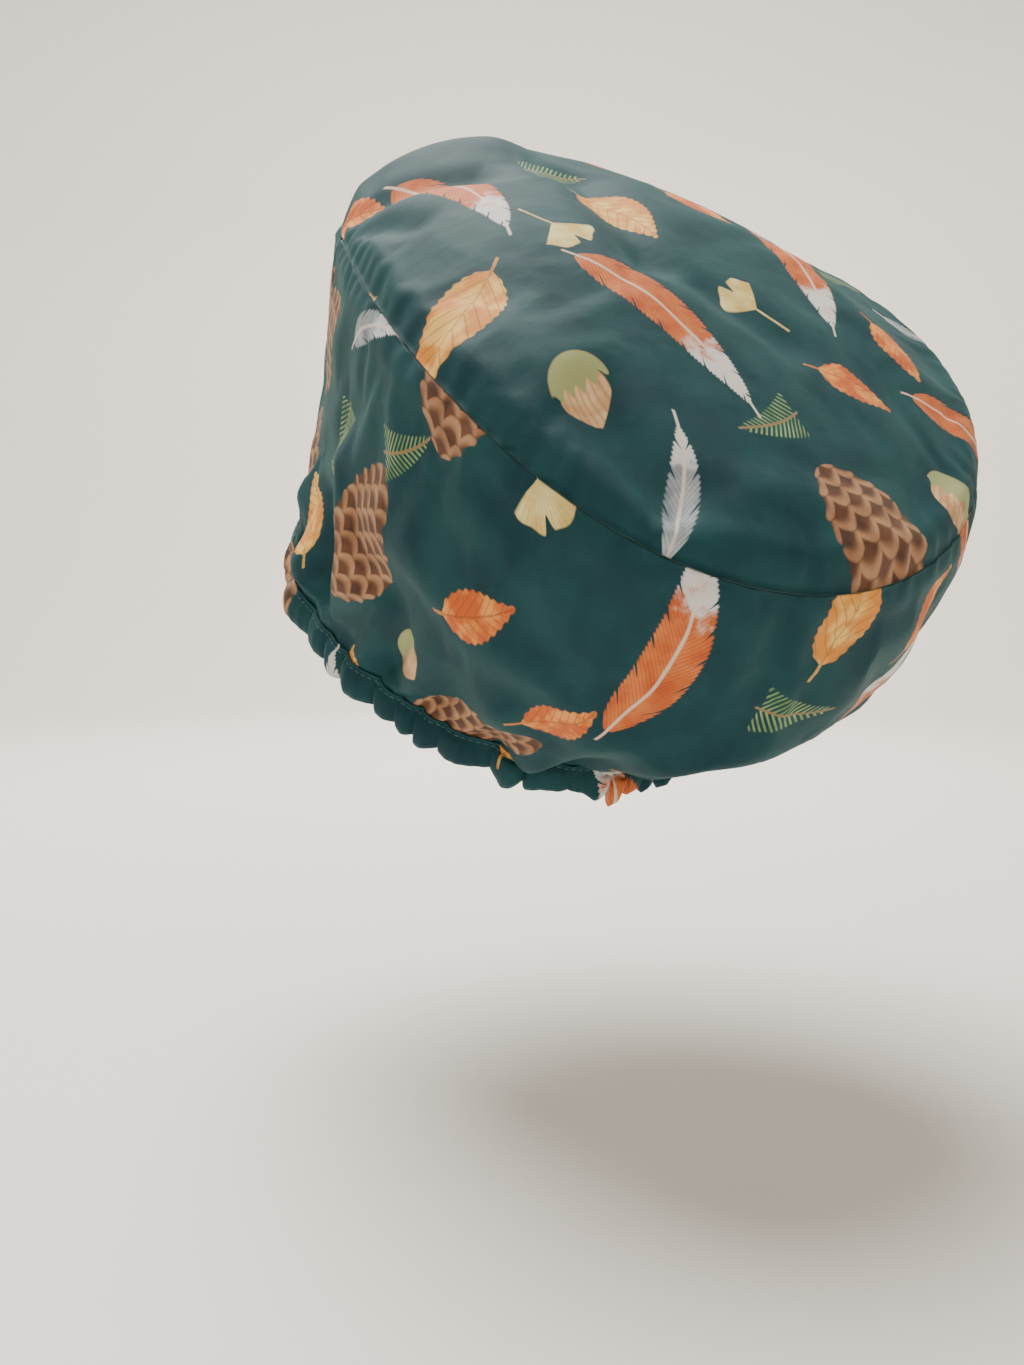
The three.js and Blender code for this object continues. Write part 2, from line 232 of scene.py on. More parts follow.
def gathered(turn):
    """1 where the elastic gathers the hem, and 0 at the front."""
    return 1 - smoothstep(np.abs(turn), GATHER_REACH - GATHER_FADE, GATHER_REACH)


def gather_wave(turn):
    """Height, from about -1 to 1, of the soft and unevenly spaced gathers."""
    a = np.radians(turn)
    wave = 0.7 * np.sin(GATHERS * a + 0.7 * np.sin(5 * a)) + 0.3 * np.sin(11 * a + 1.3)
    return gathered(turn) * wave


def gather_depth(level):
    """Height of the gathers in millimetres at a level."""
    rise = smoothstep(level, *GATHER_RISE) * (1 - smoothstep(level, *GATHER_END))
    return GATHER_AT_STITCH * (1 - smoothstep(level, *STITCH_GATHER_END)) + GATHER_ABOVE * rise


def ruffle(turn):
    """Height, from 0 to 1, of the rounded lobes between the tucks of the gathered hem."""
    a = np.radians(turn)
    phase = 0.5 * (RUFFLES * a + 2.6 * np.sin(5 * a + 1) + 1.3 * np.sin(13 * a))
    rounded = np.abs(np.sin(phase)) ** LOBE_FULLNESS
    shallow = TUCK_SHALLOWNESS * (1 + np.sin(11 * a + 4)) * (1 - rounded)
    height = 0.72 + 0.18 * np.sin(15 * a + 1) + 0.1 * np.sin(29 * a)
    return gathered(turn) * (rounded + shallow) * height


def hem_push(turn):
    """How far the ruffles push the casing's outer wall out, in millimetres."""
    return LOBE_OUT * (ruffle(turn) - LOBE_INWARD * gathered(turn))


print("Folds placed by hand:", len(BAND_FOLDS) + len(CROWN_FOLDS))

# %% [markdown]
# The two surfaces
#
# The band is a surface of turn and level, and the crown one of turn and reach, where the reach runs
# from 0 at the middle to 1 at the seam. Folds push each surface along its own outward direction, which
# comes from two short steps on the plain surface.

# %% Band and crown surfaces
CROWN_FOLD_FADE = 0.06       # share of the reach, from the seam in, over which the folds begin
BAND_FOLD_START = 0.06       # above the stitches, in levels
BAND_FOLD_END = 0.94


def plain_band(turn, level):
    oval = oval_at(level)
    a = np.radians(turn)
    spread = np.sin(a) * oval["width"] * (1 + oval["egg"] * np.cos(a))
    left = spread - oval["skew"] * np.sin(a) ** 2
    return placed(oval, np.cos(a) * oval["length"], left, -oval["sag"] * np.cos(2 * a))


def crown_chart(turn, reach):
    """Back and left, in millimetres, of a place of the crown's flat oval."""
    a = np.radians(turn)
    back = reach * np.cos(a) * seam_oval["length"]
    spread = reach * np.sin(a) * seam_oval["width"] * (1 + seam_oval["egg"] * reach * np.cos(a))
    return back, spread - seam_oval["skew"] * reach * np.clip(1 - (reach * np.cos(a)) ** 2, 0, 1)


def plain_crown(turn, reach):
    a = np.radians(turn)
    back, left = crown_chart(turn, reach)
    facing = np.cos(a - np.radians(FULL_SIDE))
    fullness = DOME_FULLNESS + DOME_FULLNESS_CHANGE * facing
    dome = DOME_HEIGHT * (1 - reach ** fullness) * (1 + DOME_LEAN * reach * facing)
    roll = SEAM_ROLL * (1 - reach ** SEAM_ROLL_POWER)
    folds = fold_height(CROWN_FOLDS, back, left) * smoothstep(1 - reach, 0, CROWN_FOLD_FADE)
    sag = seam_oval["sag"] * np.cos(2 * a) * reach ** 2
    return placed(seam_oval, back, left, dome + roll + folds - sag)


def outward(surface, turn, place, aside=0.5, step=0.002):
    """Outward direction of a surface, from its slopes round (degrees) and up (levels or reach)."""
    step = np.where(place > 0.5, -step, step)
    around = surface(turn + aside, place) - surface(turn - aside, place)
    up = (surface(turn, place + step) - surface(turn, place)) * np.sign(step)[..., None]
    normal = np.cross(up, around)
    return normal / np.maximum(np.linalg.norm(normal, axis=-1, keepdims=True), 1e-9)


BAND_CHART = band_chart(BAND_FOLDS)


def band_push(turn, level):
    """How far folds and gathers push the band out, in millimetres."""
    high = 1 - smoothstep(level, BAND_FOLD_END, 1)
    low = smoothstep(level, STITCH_LEVEL, STITCH_LEVEL + BAND_FOLD_START)
    x, y = np.radians(turn) * BAND_RADIUS, level * BAND_HEIGHT
    full = 2 * np.pi * BAND_RADIUS
    folds = sum(fold_height(BAND_CHART, x + shift, y) for shift in (-full, 0, full))
    return folds * high * low + gather_wave(turn) * gather_depth(level)


def band_at(turn, level, offset=0.0):
    push = band_push(turn, level) + offset
    return plain_band(turn, level) + outward(plain_band, turn, level) * push[..., None]


front = plain_band(np.array(180.0), np.array(1.0))
print("Front of the crown seam, mm:", front.round())

# %% [markdown]
# Fine ripples
#
# Between its large folds a worn cloth is never quite smooth. A sum of a few dozen soft waves with
# seeded directions gives a ripple with no visible repeat, and its size can be set for each place.

# %% Ripple field
def ripples(x, y, shortest, longest, seed, waves=36):
    """A soft random height between about -1 and 1, with wavelengths in millimetres."""
    rng = np.random.default_rng(seed)
    length = rng.uniform(shortest, longest, waves)
    way = rng.uniform(0, 2 * np.pi, waves)
    phase = rng.uniform(0, 2 * np.pi, waves)
    total = np.zeros_like(x)
    for k in range(waves):
        turn = 2 * np.pi / length[k]
        total += np.sin(turn * (x * np.cos(way[k]) + y * np.sin(way[k])) + phase[k])
    return total / math.sqrt(waves)


print("Ripple at one place:", round(float(ripples(np.zeros(1), np.zeros(1), 20, 50, 1)[0]), 3))

# %% [markdown]
# Making a mesh from a grid
#
# Every piece is a grid of points, so one helper makes them all: points in millimetres, four-sided
# faces, and a UV map in metres of flat cloth. The weave and the print read that map, so they bend
# with the cloth as a real print does.

# %% Grid to mesh
def in_scene(name, data):
    """A new object for a mesh, light or camera, linked to the scene."""
    made = bpy.data.objects.new(name, data)
    bpy.context.scene.collection.objects.link(made)
    return made


def shade_smooth(mesh):
    mesh.polygons.foreach_set("use_smooth", [True] * len(mesh.polygons))


def cloth_mesh(name, points, faces, uv, around=None):
    """A mesh object from points in millimetres, faces, and one flat cloth place (metres) a point.

    A closed ring gives its flat length around, so that its last faces don't run back to the start."""
    mesh = bpy.data.meshes.new(name)
    mesh.from_pydata((np.asarray(points) * MM).tolist(), [], faces.tolist())
    layer = mesh.uv_layers.new(name="cloth")
    corners = np.empty(len(mesh.loops), int)
    mesh.loops.foreach_get("vertex_index", corners)
    places = np.asarray(uv, float)[corners].reshape(-1, 4, 2)
    if around:
        behind = places[:, :, 0] < places[:, :, 0].max(axis=1, keepdims=True) - around / 2
        places[:, :, 0] += around * behind
    layer.data.foreach_set("uv", places.ravel())
    shade_smooth(mesh)
    mesh.update()
    piece = in_scene(name, mesh)
    middle = sum((face.center for face in mesh.polygons), Vector()) / len(mesh.polygons)
    facing = sum(1 for face in mesh.polygons if face.normal.dot(face.center - middle) > 0)
    print(name, "faces that point away from its middle:", facing, "of", len(mesh.polygons))
    return piece


def grid_faces(numbers):
    """Faces between the rows and columns of a grid of point numbers."""
    corners = (numbers[:-1, :-1], numbers[1:, :-1], numbers[1:, 1:], numbers[:-1, 1:])
    return np.stack(corners, -1).reshape(-1, 4)


def ring_faces(rings, columns, first=0):
    """Faces between rings of points that close on themselves, laid ring after ring."""
    numbers = np.arange(rings * columns).reshape(rings, columns) + first
    return grid_faces(np.concatenate([numbers, numbers[:, :1]], axis=1))


def flipped(faces):
    return faces[:, ::-1]


print("Faces of a test grid:", len(ring_faces(3, 4)))

# %% [markdown]
# The crown's grid
#
# A crown made of rings would pinch at its middle. A square grid bent into an oval has no such pole,
# keeps its cells nearly even, and reads as a woven panel, with the grain straight across. Its edge
# points lie at even turns, so they meet the band's columns one to one.

# %% Square grid bent into a disc
CELL_EVENING = 0.4           # widens the cells at the middle, which would be smaller than the others


def disc_grid(cells):
    """Turn (degrees) and reach of each point of a square grid bent into a disc."""
    line = np.linspace(-1, 1, cells + 1)
    a, b = np.meshgrid(line, line, indexing="ij")
    wide = np.abs(a) >= np.abs(b)
    reach = np.where(wide, a, b)
    ratio = np.where(wide, b, a) / np.where(reach == 0, 1, reach)
    angle = np.where(wide, ratio * np.pi / 4, np.pi / 2 - ratio * np.pi / 4)
    angle = np.where(reach < 0, angle + np.pi, angle)
    reach = np.abs(reach)
    reach = reach + CELL_EVENING * reach * (1 - reach)
    turn = (np.degrees(angle) + 180) % 360 - 180
    return turn, reach


def square_numbers(cells):
    return np.arange((cells + 1) * (cells + 1)).reshape(cells + 1, cells + 1)


def square_edge(cells):
    """Indices of the grid's edge points, in order of turn from the centre back."""
    k = square_numbers(cells)
    loop = np.concatenate([k[-1, :-1], k[:0:-1, -1], k[0, :0:-1], k[:-1, 0]])
    return np.roll(loop, -cells // 2)


crown_turn, crown_reach = (values.ravel() for values in disc_grid(CROWN_CELLS))
crown_faces = grid_faces(square_numbers(CROWN_CELLS))
edge = square_edge(CROWN_CELLS)
turns = crown_turn[edge]
print("Edge turns start:", turns[:3].round(2), "and there are", len(turns))

# %% [markdown]
# Shaping the crown and the band
#
# Along the seam the cloth is drawn in by the thread, so it puckers: short ripples run away from the
# seam and fade within a centimetre. Above the stitches of the casing the gathers break into fine
# pleats, and each side seam is a groove between two soft rolls. All are added to the large folds.

# %% Crown and band points
CROWN_EASE = 1.03            # the dome's cloth is this much longer than its plan
CROWN_RIPPLE = 0.5
BAND_RIPPLE = 0.8
RIPPLE_FADE = 20.0           # from the crown seam
STITCH_FADE = 25.0           # from the casing's stitches
PUCKER_HEIGHT = 0.35
PUCKER_FADE = 5.0
CROWN_PUFF = 1.2             # the roll beside the crown seam, where the allowances lift the cloth
BAND_PUFF = 1.0
PUFF_PLACE = 6.0
PUFF_HALF = 5.0
PLEAT_REACH = 9.0            # of the shortest pleats
PLEAT_LONGER = 14.0          # that the longest pleats reach farther
PLEAT_FALL = 1.3
FINE_PLEAT = 0.3
SIDE_ROLL = 0.5
SIDE_ROLL_PLACE = 5.0
SIDE_GROOVE = 1.1
SIDE_GROOVE_HALF = 1.5
SIDE_PUCKER = 0.3


def pucker(turn, distance):
    """Height of the small puckers that the seam's thread draws up, by distance from the seam."""
    a = np.radians(turn)
    beat = np.sin(97 * a + 2.1 * np.sin(7 * a)) + 0.6 * np.sin(61 * a + 1.7 * np.sin(11 * a))
    return PUCKER_HEIGHT * beat * np.exp(-distance / PUCKER_FADE) * smoothstep(distance, 0, 1.5)


def puff(distance):
    return np.exp(-((distance - PUFF_PLACE) / PUFF_HALF) ** 2)


def pleats(turn, up):
    """Pleats that run up from the stitches, some short and some long, by height above the stitches."""
    a = np.radians(turn)
    fine = np.sin(83 * a + 2 * np.sin(13 * a) + 1) * gathered(turn)
    reach = PLEAT_REACH + PLEAT_LONGER * (0.5 + 0.5 * np.sin(9 * a + 2))
    large = PLEAT_SHARE * hem_push(turn) * np.exp(-(up / reach) ** PLEAT_FALL)
    return large + FINE_PLEAT * fine * np.exp(-up / PLEAT_REACH)


def side_seams(turn, level):
    """The groove of each side seam, the rolls beside it, and the puckers along its thread."""
    beside = np.radians(np.abs(np.abs(turn) - SIDE_SEAM_COLUMN * 360 / COLUMNS)) * BAND_RADIUS
    rolls = SIDE_ROLL * np.exp(-((beside - SIDE_ROLL_PLACE) / 3) ** 2)
    groove = rolls - SIDE_GROOVE * np.exp(-(beside / SIDE_GROOVE_HALF) ** 2)
    return groove + SIDE_PUCKER * np.sin(level * 95) * np.exp(-beside / PUCKER_FADE)


def crown_points():
    """Points of the crown in millimetres, and their flat cloth places in metres."""
    turn, reach = crown_turn, crown_reach
    normal = outward(plain_crown, turn, np.maximum(reach, 1e-3))
    normal[reach < 0.02] = seam_up / np.linalg.norm(seam_up)
    normal *= np.sign(normal @ seam_up)[:, None]
    back, left = crown_chart(turn, reach)
    distance = (1 - reach) * CROWN_REACH
    ripple = CROWN_RIPPLE * ripples(back, left, 45, 110, seed=11) * smoothstep(distance, 0, RIPPLE_FADE)
    push = ripple + CROWN_PUFF * puff(distance) + pucker(turn, distance)
    points = plain_crown(turn, reach) + normal * push[:, None]
    return points, np.stack([left, back], -1) * MM * CROWN_EASE


BAND_LEVELS = np.concatenate([
    1 - np.array([0, 0.006, 0.014, 0.025, 0.04]),
    np.linspace(0.94, 0.2, 38),
    np.linspace(0.188, STITCH_LEVEL, 11),
])


def band_points():
    """Points of the band in millimetres, one row for each level."""
    level, turn = np.meshgrid(BAND_LEVELS, turns, indexing="ij")
    distance = (1 - level) * BAND_HEIGHT
    up = (level - STITCH_LEVEL) * BAND_HEIGHT
    x = np.radians(turn) * BAND_RADIUS
    ripple = BAND_RIPPLE * ripples(x, level * BAND_HEIGHT, 26, 70, seed=5)
    ripple = ripple * smoothstep(distance, 0, RIPPLE_FADE) * smoothstep(up, 0, STITCH_FADE)
    push = ripple + pleats(turn, up) + BAND_PUFF * puff(distance) + pucker(turn + 1.3, distance)
    return band_at(turn, level, push + side_seams(turn, level) * smoothstep(up, 0, 8))


crown_shape, crown_uv = crown_points()
band_shape = band_points()
print("Crown points:", len(crown_shape), "and band points:", band_shape.shape)

# %% [markdown]
# Letting the cloth settle
#
# Folds that are only drawn look drawn. So crown and band are joined at their seam and handed to the
# cloth simulation, with a little more cloth than the shape has room for. The surplus buckles into
# folds of its own between the ones that were placed. The stitch line is pinned, the seam is held
# firmly and every other point loosely, and no point may move more than a few millimetres, so the
# outline stays as it was placed.

# %% Cloth simulation
SETTLE_FRAMES = 16
SURPLUS = 0.012
FARTHEST = 5.0
CROWN_SHARE = 0.4            # of the settling that the crown keeps, because its cloth is drawn tighter
CROWN_SEAM_ZONE = 0.8        # the reach from which the crown keeps more, and all of it at the seam
LOOSE_HOLD = 0.12
SEAM_HOLD = 0.6
PINNED_ROWS = 3              # of the band, at the stitches


def settle_mesh(start, crown_count):
    """One mesh of crown and band, sharing the seam's points, and the band's point numbers."""
    band_numbers = np.arange(crown_count, len(start)).reshape(-1, COLUMNS)
    numbers = np.concatenate([edge[None], band_numbers])
    quads = grid_faces(np.concatenate([numbers, numbers[:, :1]], axis=1))
    mesh = bpy.data.meshes.new("settling")
    mesh.from_pydata((start * MM).tolist(), [], np.concatenate([crown_faces, quads]).tolist())
    return mesh, numbers


def make_cloth(piece):
    """Cloth whose points are held to their places as strongly as the group hold says."""
    cloth = piece.modifiers.new("cloth", "CLOTH")
    facts = cloth.settings
    facts.quality = 5
    facts.mass = 0.15
    facts.tension_stiffness = 12
    facts.compression_stiffness = 12
    facts.shear_stiffness = 4
    facts.bending_stiffness = 3.0
    facts.shrink_min = -SURPLUS
    facts.vertex_group_mass = "hold"
    facts.pin_stiffness = 0.6
    facts.use_pressure = True
    facts.uniform_pressure_force = 0.3
    facts.effector_weights.gravity = 0
    cloth.collision_settings.use_collision = False
    cloth.point_cache.frame_start = 1
    cloth.point_cache.frame_end = SETTLE_FRAMES


def settle(crown_start, band_start):
    """Crown and band points after the cloth simulation."""
    count = len(crown_start)
    start = np.concatenate([crown_start, band_start[1:].reshape(-1, 3)])
    mesh, numbers = settle_mesh(start, count)
    piece = in_scene("settling", mesh)
    hold = piece.vertex_groups.new(name="hold")
    hold.add(range(len(start)), LOOSE_HOLD, "REPLACE")
    hold.add(numbers[0].tolist(), SEAM_HOLD, "REPLACE")
    hold.add(numbers[-PINNED_ROWS:].ravel().tolist(), 1.0, "REPLACE")
    make_cloth(piece)
    scene = bpy.context.scene
    for number in range(1, SETTLE_FRAMES + 1):
        scene.frame_set(number)
    final = piece.evaluated_get(bpy.context.evaluated_depsgraph_get())
    moved = np.empty(len(start) * 3)
    final.to_mesh().vertices.foreach_get("co", moved)
    final.to_mesh_clear()
    shift = moved.reshape(-1, 3) / MM - start
    size = np.linalg.norm(shift, axis=1, keepdims=True)
    print("Settled: mean move", size.mean().round(2), "mm, largest", size.max().round(2), "mm")
    shift *= FARTHEST * np.tanh(size / FARTHEST) / np.maximum(size, 1e-9)
    near_seam = smoothstep(crown_reach, CROWN_SEAM_ZONE, 1)
    shift[:count] *= (CROWN_SHARE + (1 - CROWN_SHARE) * near_seam)[:, None]
    bpy.data.objects.remove(piece)
    bpy.data.meshes.remove(mesh)
    scene.frame_set(1)
    points = start + shift
    return points[:count], points[numbers]


crown_shape, band_shape = settle(crown_shape, band_shape)

# %% [markdown]
# Flat cloth places of the band
#
# The band was cut flat, as long as the crown seam, and its lower edge is squeezed by the elastic. Its
# flat place is found by measuring: along the seam for one way, and down each column for the other.

# %% Band UV
def seam_places(shape):
    """How far each column's top point lies along the seam from the centre back, both ways."""
    ring = np.concatenate([shape[0], shape[0][:1]])
    along = np.concatenate([[0], np.cumsum(np.linalg.norm(np.diff(ring, axis=0), axis=1))])
    return along[:-1], along[-1]


def band_uv(shape):
    """Flat cloth places of the band's points, in metres: along the seam, and down from it."""
    along, length = seam_places(shape)
    step = np.linalg.norm(np.diff(shape, axis=0), axis=2)
    down = np.concatenate([np.zeros((1, shape.shape[1])), np.cumsum(step, axis=0)])
    return np.stack([np.broadcast_to(along, down.shape), -down], -1) * MM, length


band_flat, seam_length = band_uv(band_shape)
band_depth = -band_flat[-1, :, 1] / MM
print("Crown seam, mm:", round(seam_length))
print("Band depth, mm:", band_depth.min().round(), "to", band_depth.max().round())

# %% [markdown]
# Seam allowances
#
# Inside the cap both edges of the crown seam turn inwards and lie face to face. They show from below,
# and they give the seam its stiff, rolled edge. Each piece carries its own allowance as a few extra
# rings of points.

# %% Allowance rings
ALLOWANCE_STEPS = (0.0, 0.35, 0.7, 1.0)      # shares of the allowance at its rings of points
ALLOWANCE_WAVES = (0.0, 0.0, 0.5, 1.0)       # share of the wave that each ring takes
ALLOWANCE_WAVE = 0.25
TUCK_LEVEL = 0.078                           # of the first ring that is tucked into the casing
TUCK_DROP = 1.5
BEHIND = 1.6                                 # of a side allowance, behind its panel
BEHIND_AT_FOLD = 1.3


def seam_rings(seam_points, side):
    """Rings of points from the seam inwards, for the crown (side 1) or the band (side -1)."""
    inward = seam_middle - seam_points
    inward -= (inward @ seam_up)[:, None] * seam_up
    inward /= np.linalg.norm(inward, axis=1, keepdims=True)
    droop = (np.radians(ALLOWANCE_DROOP) * (1 + np.cos(np.radians(turns))) / 2)[:, None]
    along = inward * np.cos(droop) - seam_up * np.sin(droop)
    above = seam_up * np.cos(droop) + inward * np.sin(droop)
    lift = side * SEAM_GAP / 2
    wave = ALLOWANCE_WAVE * np.sin(40 * np.radians(turns))
    return [
        seam_points + along * ALLOWANCE * share + above * (lift + taken * wave)[:, None]
        for share, taken in zip(ALLOWANCE_STEPS, ALLOWANCE_WAVES)
    ]


def crown_piece():
    """The crown panel, with its allowance turned in round the seam."""
    rings = seam_rings(crown_shape[edge], 1)
    points = crown_shape.copy()
    points[edge] = rings[0]
    points = np.concatenate([points] + rings[1:])
    inner = np.arange(COLUMNS) + len(crown_shape)
    first = np.stack([edge, np.roll(edge, -1), np.roll(inner, -1), inner], -1)
    rest = flipped(ring_faces(len(rings) - 1, COLUMNS, len(crown_shape)))
    grown = [crown_uv[edge] * (1 + ALLOWANCE * share / CROWN_REACH) for share in ALLOWANCE_STEPS[1:]]
    faces = flipped(np.concatenate([crown_faces, first, rest]))
    return cloth_mesh("crown_cloth", points, faces, np.concatenate([crown_uv] + grown))


def band_rows():
    """All rows of the band, from its allowance down to the edge tucked in the casing, and their UV."""
    rings = seam_rings(band_shape[0], -1)
    tucked = STITCH_LEVEL * (1 - BAND_TUCK / CASING_HEIGHT)
    follow = PLEAT_SHARE * hem_push(turns)
    tuck = [band_at(turns, np.full(COLUMNS, level), follow) for level in (TUCK_LEVEL, tucked)]
    rows = rings[::-1] + list(band_shape[1:]) + tuck
    above = [band_flat[0] + (0, ALLOWANCE * share * MM) for share in ALLOWANCE_STEPS[:0:-1]]
    below = [band_flat[-1] - (0, drop * MM) for drop in (TUCK_DROP, BAND_TUCK)]
    return np.array(rows), np.array(above + list(band_flat) + below)


def turned_in(rows, uv):
    """Three columns that turn the first column's edge in behind the panel, outermost first."""
    widest = round(SIDE_ALLOWANCE / COLUMN_WIDTH)
    into = rows[:, widest] - rows[:, 0]
    down = np.gradient(rows[:, 0], axis=0)
    behind = np.cross(down, into)
    behind /= np.linalg.norm(behind, axis=1, keepdims=True)
    middle = placed(oval_at(0.5), 0, 0, 0)
    behind *= np.sign(((middle - rows[:, 0]) * behind).sum(axis=1).mean())
    columns, places = [], []
    for column, depth in ((widest, BEHIND), (widest // 2, BEHIND), (1, BEHIND_AT_FOLD)):
        columns.append(rows[:, column] + behind * depth)
        places.append(2 * uv[:, 0] - uv[:, column])
    return np.stack(columns, 1), np.stack(places, 1)


def panel_piece(name, columns):
    """One panel of the band, over a run of columns, with its side allowances turned in."""
    rows, uv = band_rows()
    along, length = seam_places(band_shape)
    rows, uv = rows[:, columns], uv[:, columns].copy()
    u = along[columns]
    u = np.where(u - u[0] < 0, u + length, u)
    uv[:, :, 0] = (u - u.mean()) * MM
    left, left_uv = turned_in(rows, uv)
    right, right_uv = turned_in(rows[:, ::-1], uv[:, ::-1])
    rows = np.concatenate([left, rows, right[:, ::-1]], axis=1)
    uv = np.concatenate([left_uv, uv, right_uv[:, ::-1]], axis=1)
    numbers = np.arange(rows.shape[0] * rows.shape[1]).reshape(rows.shape[:2])
    return cloth_mesh(name, rows.reshape(-1, 3), flipped(grid_faces(numbers)), uv.reshape(-1, 2))


back_columns = np.arange(-SIDE_SEAM_COLUMN, SIDE_SEAM_COLUMN + 1) % COLUMNS
front_columns = np.arange(SIDE_SEAM_COLUMN, COLUMNS - SIDE_SEAM_COLUMN + 1)
crown_cloth = crown_piece()
back_cloth = panel_piece("back_band_cloth", back_columns)
front_cloth = panel_piece("front_band_cloth", front_columns)
print("Made", crown_cloth.name, back_cloth.name, "and", front_cloth.name)

# %% [markdown]
# The hem casing
#
# The band's lower edge is turned up twice and stitched, which leaves a channel for the elastic. In
# section it is a narrow U. The inner wall is smooth, and the elastic pushes the outer wall and the
# bottom edge into rounded lobes with deep tucks between them. A lobe leans to one side and hangs over
# its tuck, as soft cloth does, which is what makes the tucks dark.

# %% Casing
CASING_COLUMNS = 3 * COLUMNS
CASING_PRINT = 180.0         # how far down the print the casing's cloth begins
CRIMP = 0.12                 # height of the finest waves in its cloth
LOBE_DOWN = 3.3
LOBE_LEAN = 2.0
CASING_SECTION = [
    # out (mm), up (share of the casing's height), share of the ruffle, lean
    (-2.3, 0.98, 0.0, 0.0), (-2.35, 0.7, 0.0, 0.0), (-2.4, 0.4, 0.1, 0.0), (-2.3, 0.16, 0.2, 0.1),
    (-1.7, 0.0, 0.4, 0.3), (-0.6, -0.07, 0.6, 0.5), (0.6, -0.08, 0.8, 0.8), (1.7, -0.02, 0.95, 1.0),
    (2.4, 0.12, 1.0, 1.0), (2.6, 0.3, 1.0, 1.0), (2.5, 0.5, 0.95, 0.8), (2.1, 0.68, 0.85, 0.5),
    (1.5, 0.83, 0.7, 0.2), (0.95, 0.93, 0.6, 0.0), (0.8, 0.99, 0.6, 0.0), (0.85, 1.05, 0.6, 0.0),
]
OUTERMOST = 9                # the row of the section that lies farthest out
casing_turns = turns[SIDE_SEAM_COLUMN] - np.arange(CASING_COLUMNS) * 360.0 / CASING_COLUMNS
casing_turns = (casing_turns + 180) % 360 - 180


def casing_ring(out, up, share, lean):
    """One ring of the casing: out and up in its section, moved by its shares of ruffle and lean."""
    lobe = ruffle(casing_turns)
    turn = casing_turns + np.degrees(LOBE_LEAN * lean * lobe / BAND_RADIUS)
    drop = share * lobe * LOBE_DOWN / CASING_HEIGHT * np.clip(1 - up, 0, 1)
    crimp = CRIMP * np.sin(131 * np.radians(casing_turns)) * share
    return band_at(turn, (up - drop) * STITCH_LEVEL, out + share * hem_push(casing_turns) + crimp)


def casing_piece():
    """The casing's cloth, with its flat length measured along the outermost row."""
    rows = [casing_ring(*row) for row in CASING_SECTION]
    outer = rows[OUTERMOST]
    around = np.linalg.norm(np.roll(outer, -1, axis=0) - outer, axis=1)
    along = np.concatenate([[0], np.cumsum(around)[:-1]])
    section = np.array(CASING_SECTION)[:, :2] * (1, CASING_HEIGHT)
    heights = np.concatenate([[0], np.cumsum(np.hypot(*np.diff(section, axis=0).T))])
    across, down = np.meshgrid(along, heights - CASING_PRINT)
    uv = np.stack([across, down], -1).reshape(-1, 2) * MM
    faces = flipped(ring_faces(len(rows), CASING_COLUMNS))
    print("Length of the casing's cloth round the hem, mm:", round(float(around.sum())))
    return cloth_mesh("casing_cloth", np.concatenate(rows), faces, uv, around.sum() * MM)


casing_cloth = casing_piece()

# %% [markdown]
# Giving the cloth its thickness
#
# Solidify turns each open sheet into a thin wall. The outer face stays where it was shaped, and the
# thickness goes inwards.

# %% Thickness
def thicken(piece, thickness=CLOTH):
    wall = piece.modifiers.new("thickness", "SOLIDIFY")
    wall.thickness = thickness * MM
    wall.offset = -1
    wall.use_even_offset = False
    wall.use_rim = True


CLOTHS = (crown_cloth, back_cloth, front_cloth, casing_cloth)
for piece in CLOTHS:
    thicken(piece)
print("Cloth thickness, mm:", CLOTH)

# %% [markdown]
# Patterns written as sums
#
# The cloth is printed with painted woodland finds: pine cones, feathers, leaves and nuts. An image
# would be the quick way, but a procedural print stays sharp at any distance and needs no file. Such
# patterns take many Math nodes. A small class lets Python's own signs add those nodes, so that a
# motif reads like a formula.

# %% Node arithmetic
class Term:
    """One number inside a node tree. Sums of terms add Math nodes to the tree."""

    def __init__(self, tree, socket):
        self.tree = tree
        self.socket = socket

    def made(self, kind, *others):
        """A Math node of a kind, on this number and others."""
        node = self.tree.nodes.new("ShaderNodeMath")
        node.operation = kind
        for slot, value in zip(node.inputs, (self,) + others):
            if isinstance(value, Term):
                self.tree.links.new(value.socket, slot)
            else:
                slot.default_value = value
        return Term(self.tree, node.outputs[0])

    def inverse(self):
        """One minus the number, as the other side of a mask."""
        return self * -1.0 + 1.0

    def smooth(self, low, high):
        """0 below low, 1 above high, and a soft step between them."""
        node = self.tree.nodes.new("ShaderNodeMapRange")
        node.interpolation_type = "SMOOTHSTEP"
        self.tree.links.new(self.socket, node.inputs["Value"])
        node.inputs["From Min"].default_value = low
        node.inputs["From Max"].default_value = high
        return Term(self.tree, node.outputs["Result"])

    def within(self, edge=0.35):
        """A mask of where the number, a distance in millimetres, is under 0."""
        return self.smooth(-edge, edge).inverse()


def sign(kind):
    """A method of Term that adds one kind of Math node."""
    return lambda term, *others: term.made(kind, *others)


SIGNS = {
    "__add__": "ADD", "__sub__": "SUBTRACT", "__mul__": "MULTIPLY", "__truediv__": "DIVIDE",
    "__abs__": "ABSOLUTE", "floor": "FLOOR", "fract": "FRACT", "sin": "SINE", "cos": "COSINE",
    "root": "SQRT", "power": "POWER", "least": "MINIMUM", "most": "MAXIMUM",
}
for method, kind in SIGNS.items():
    setattr(Term, method, sign(kind))


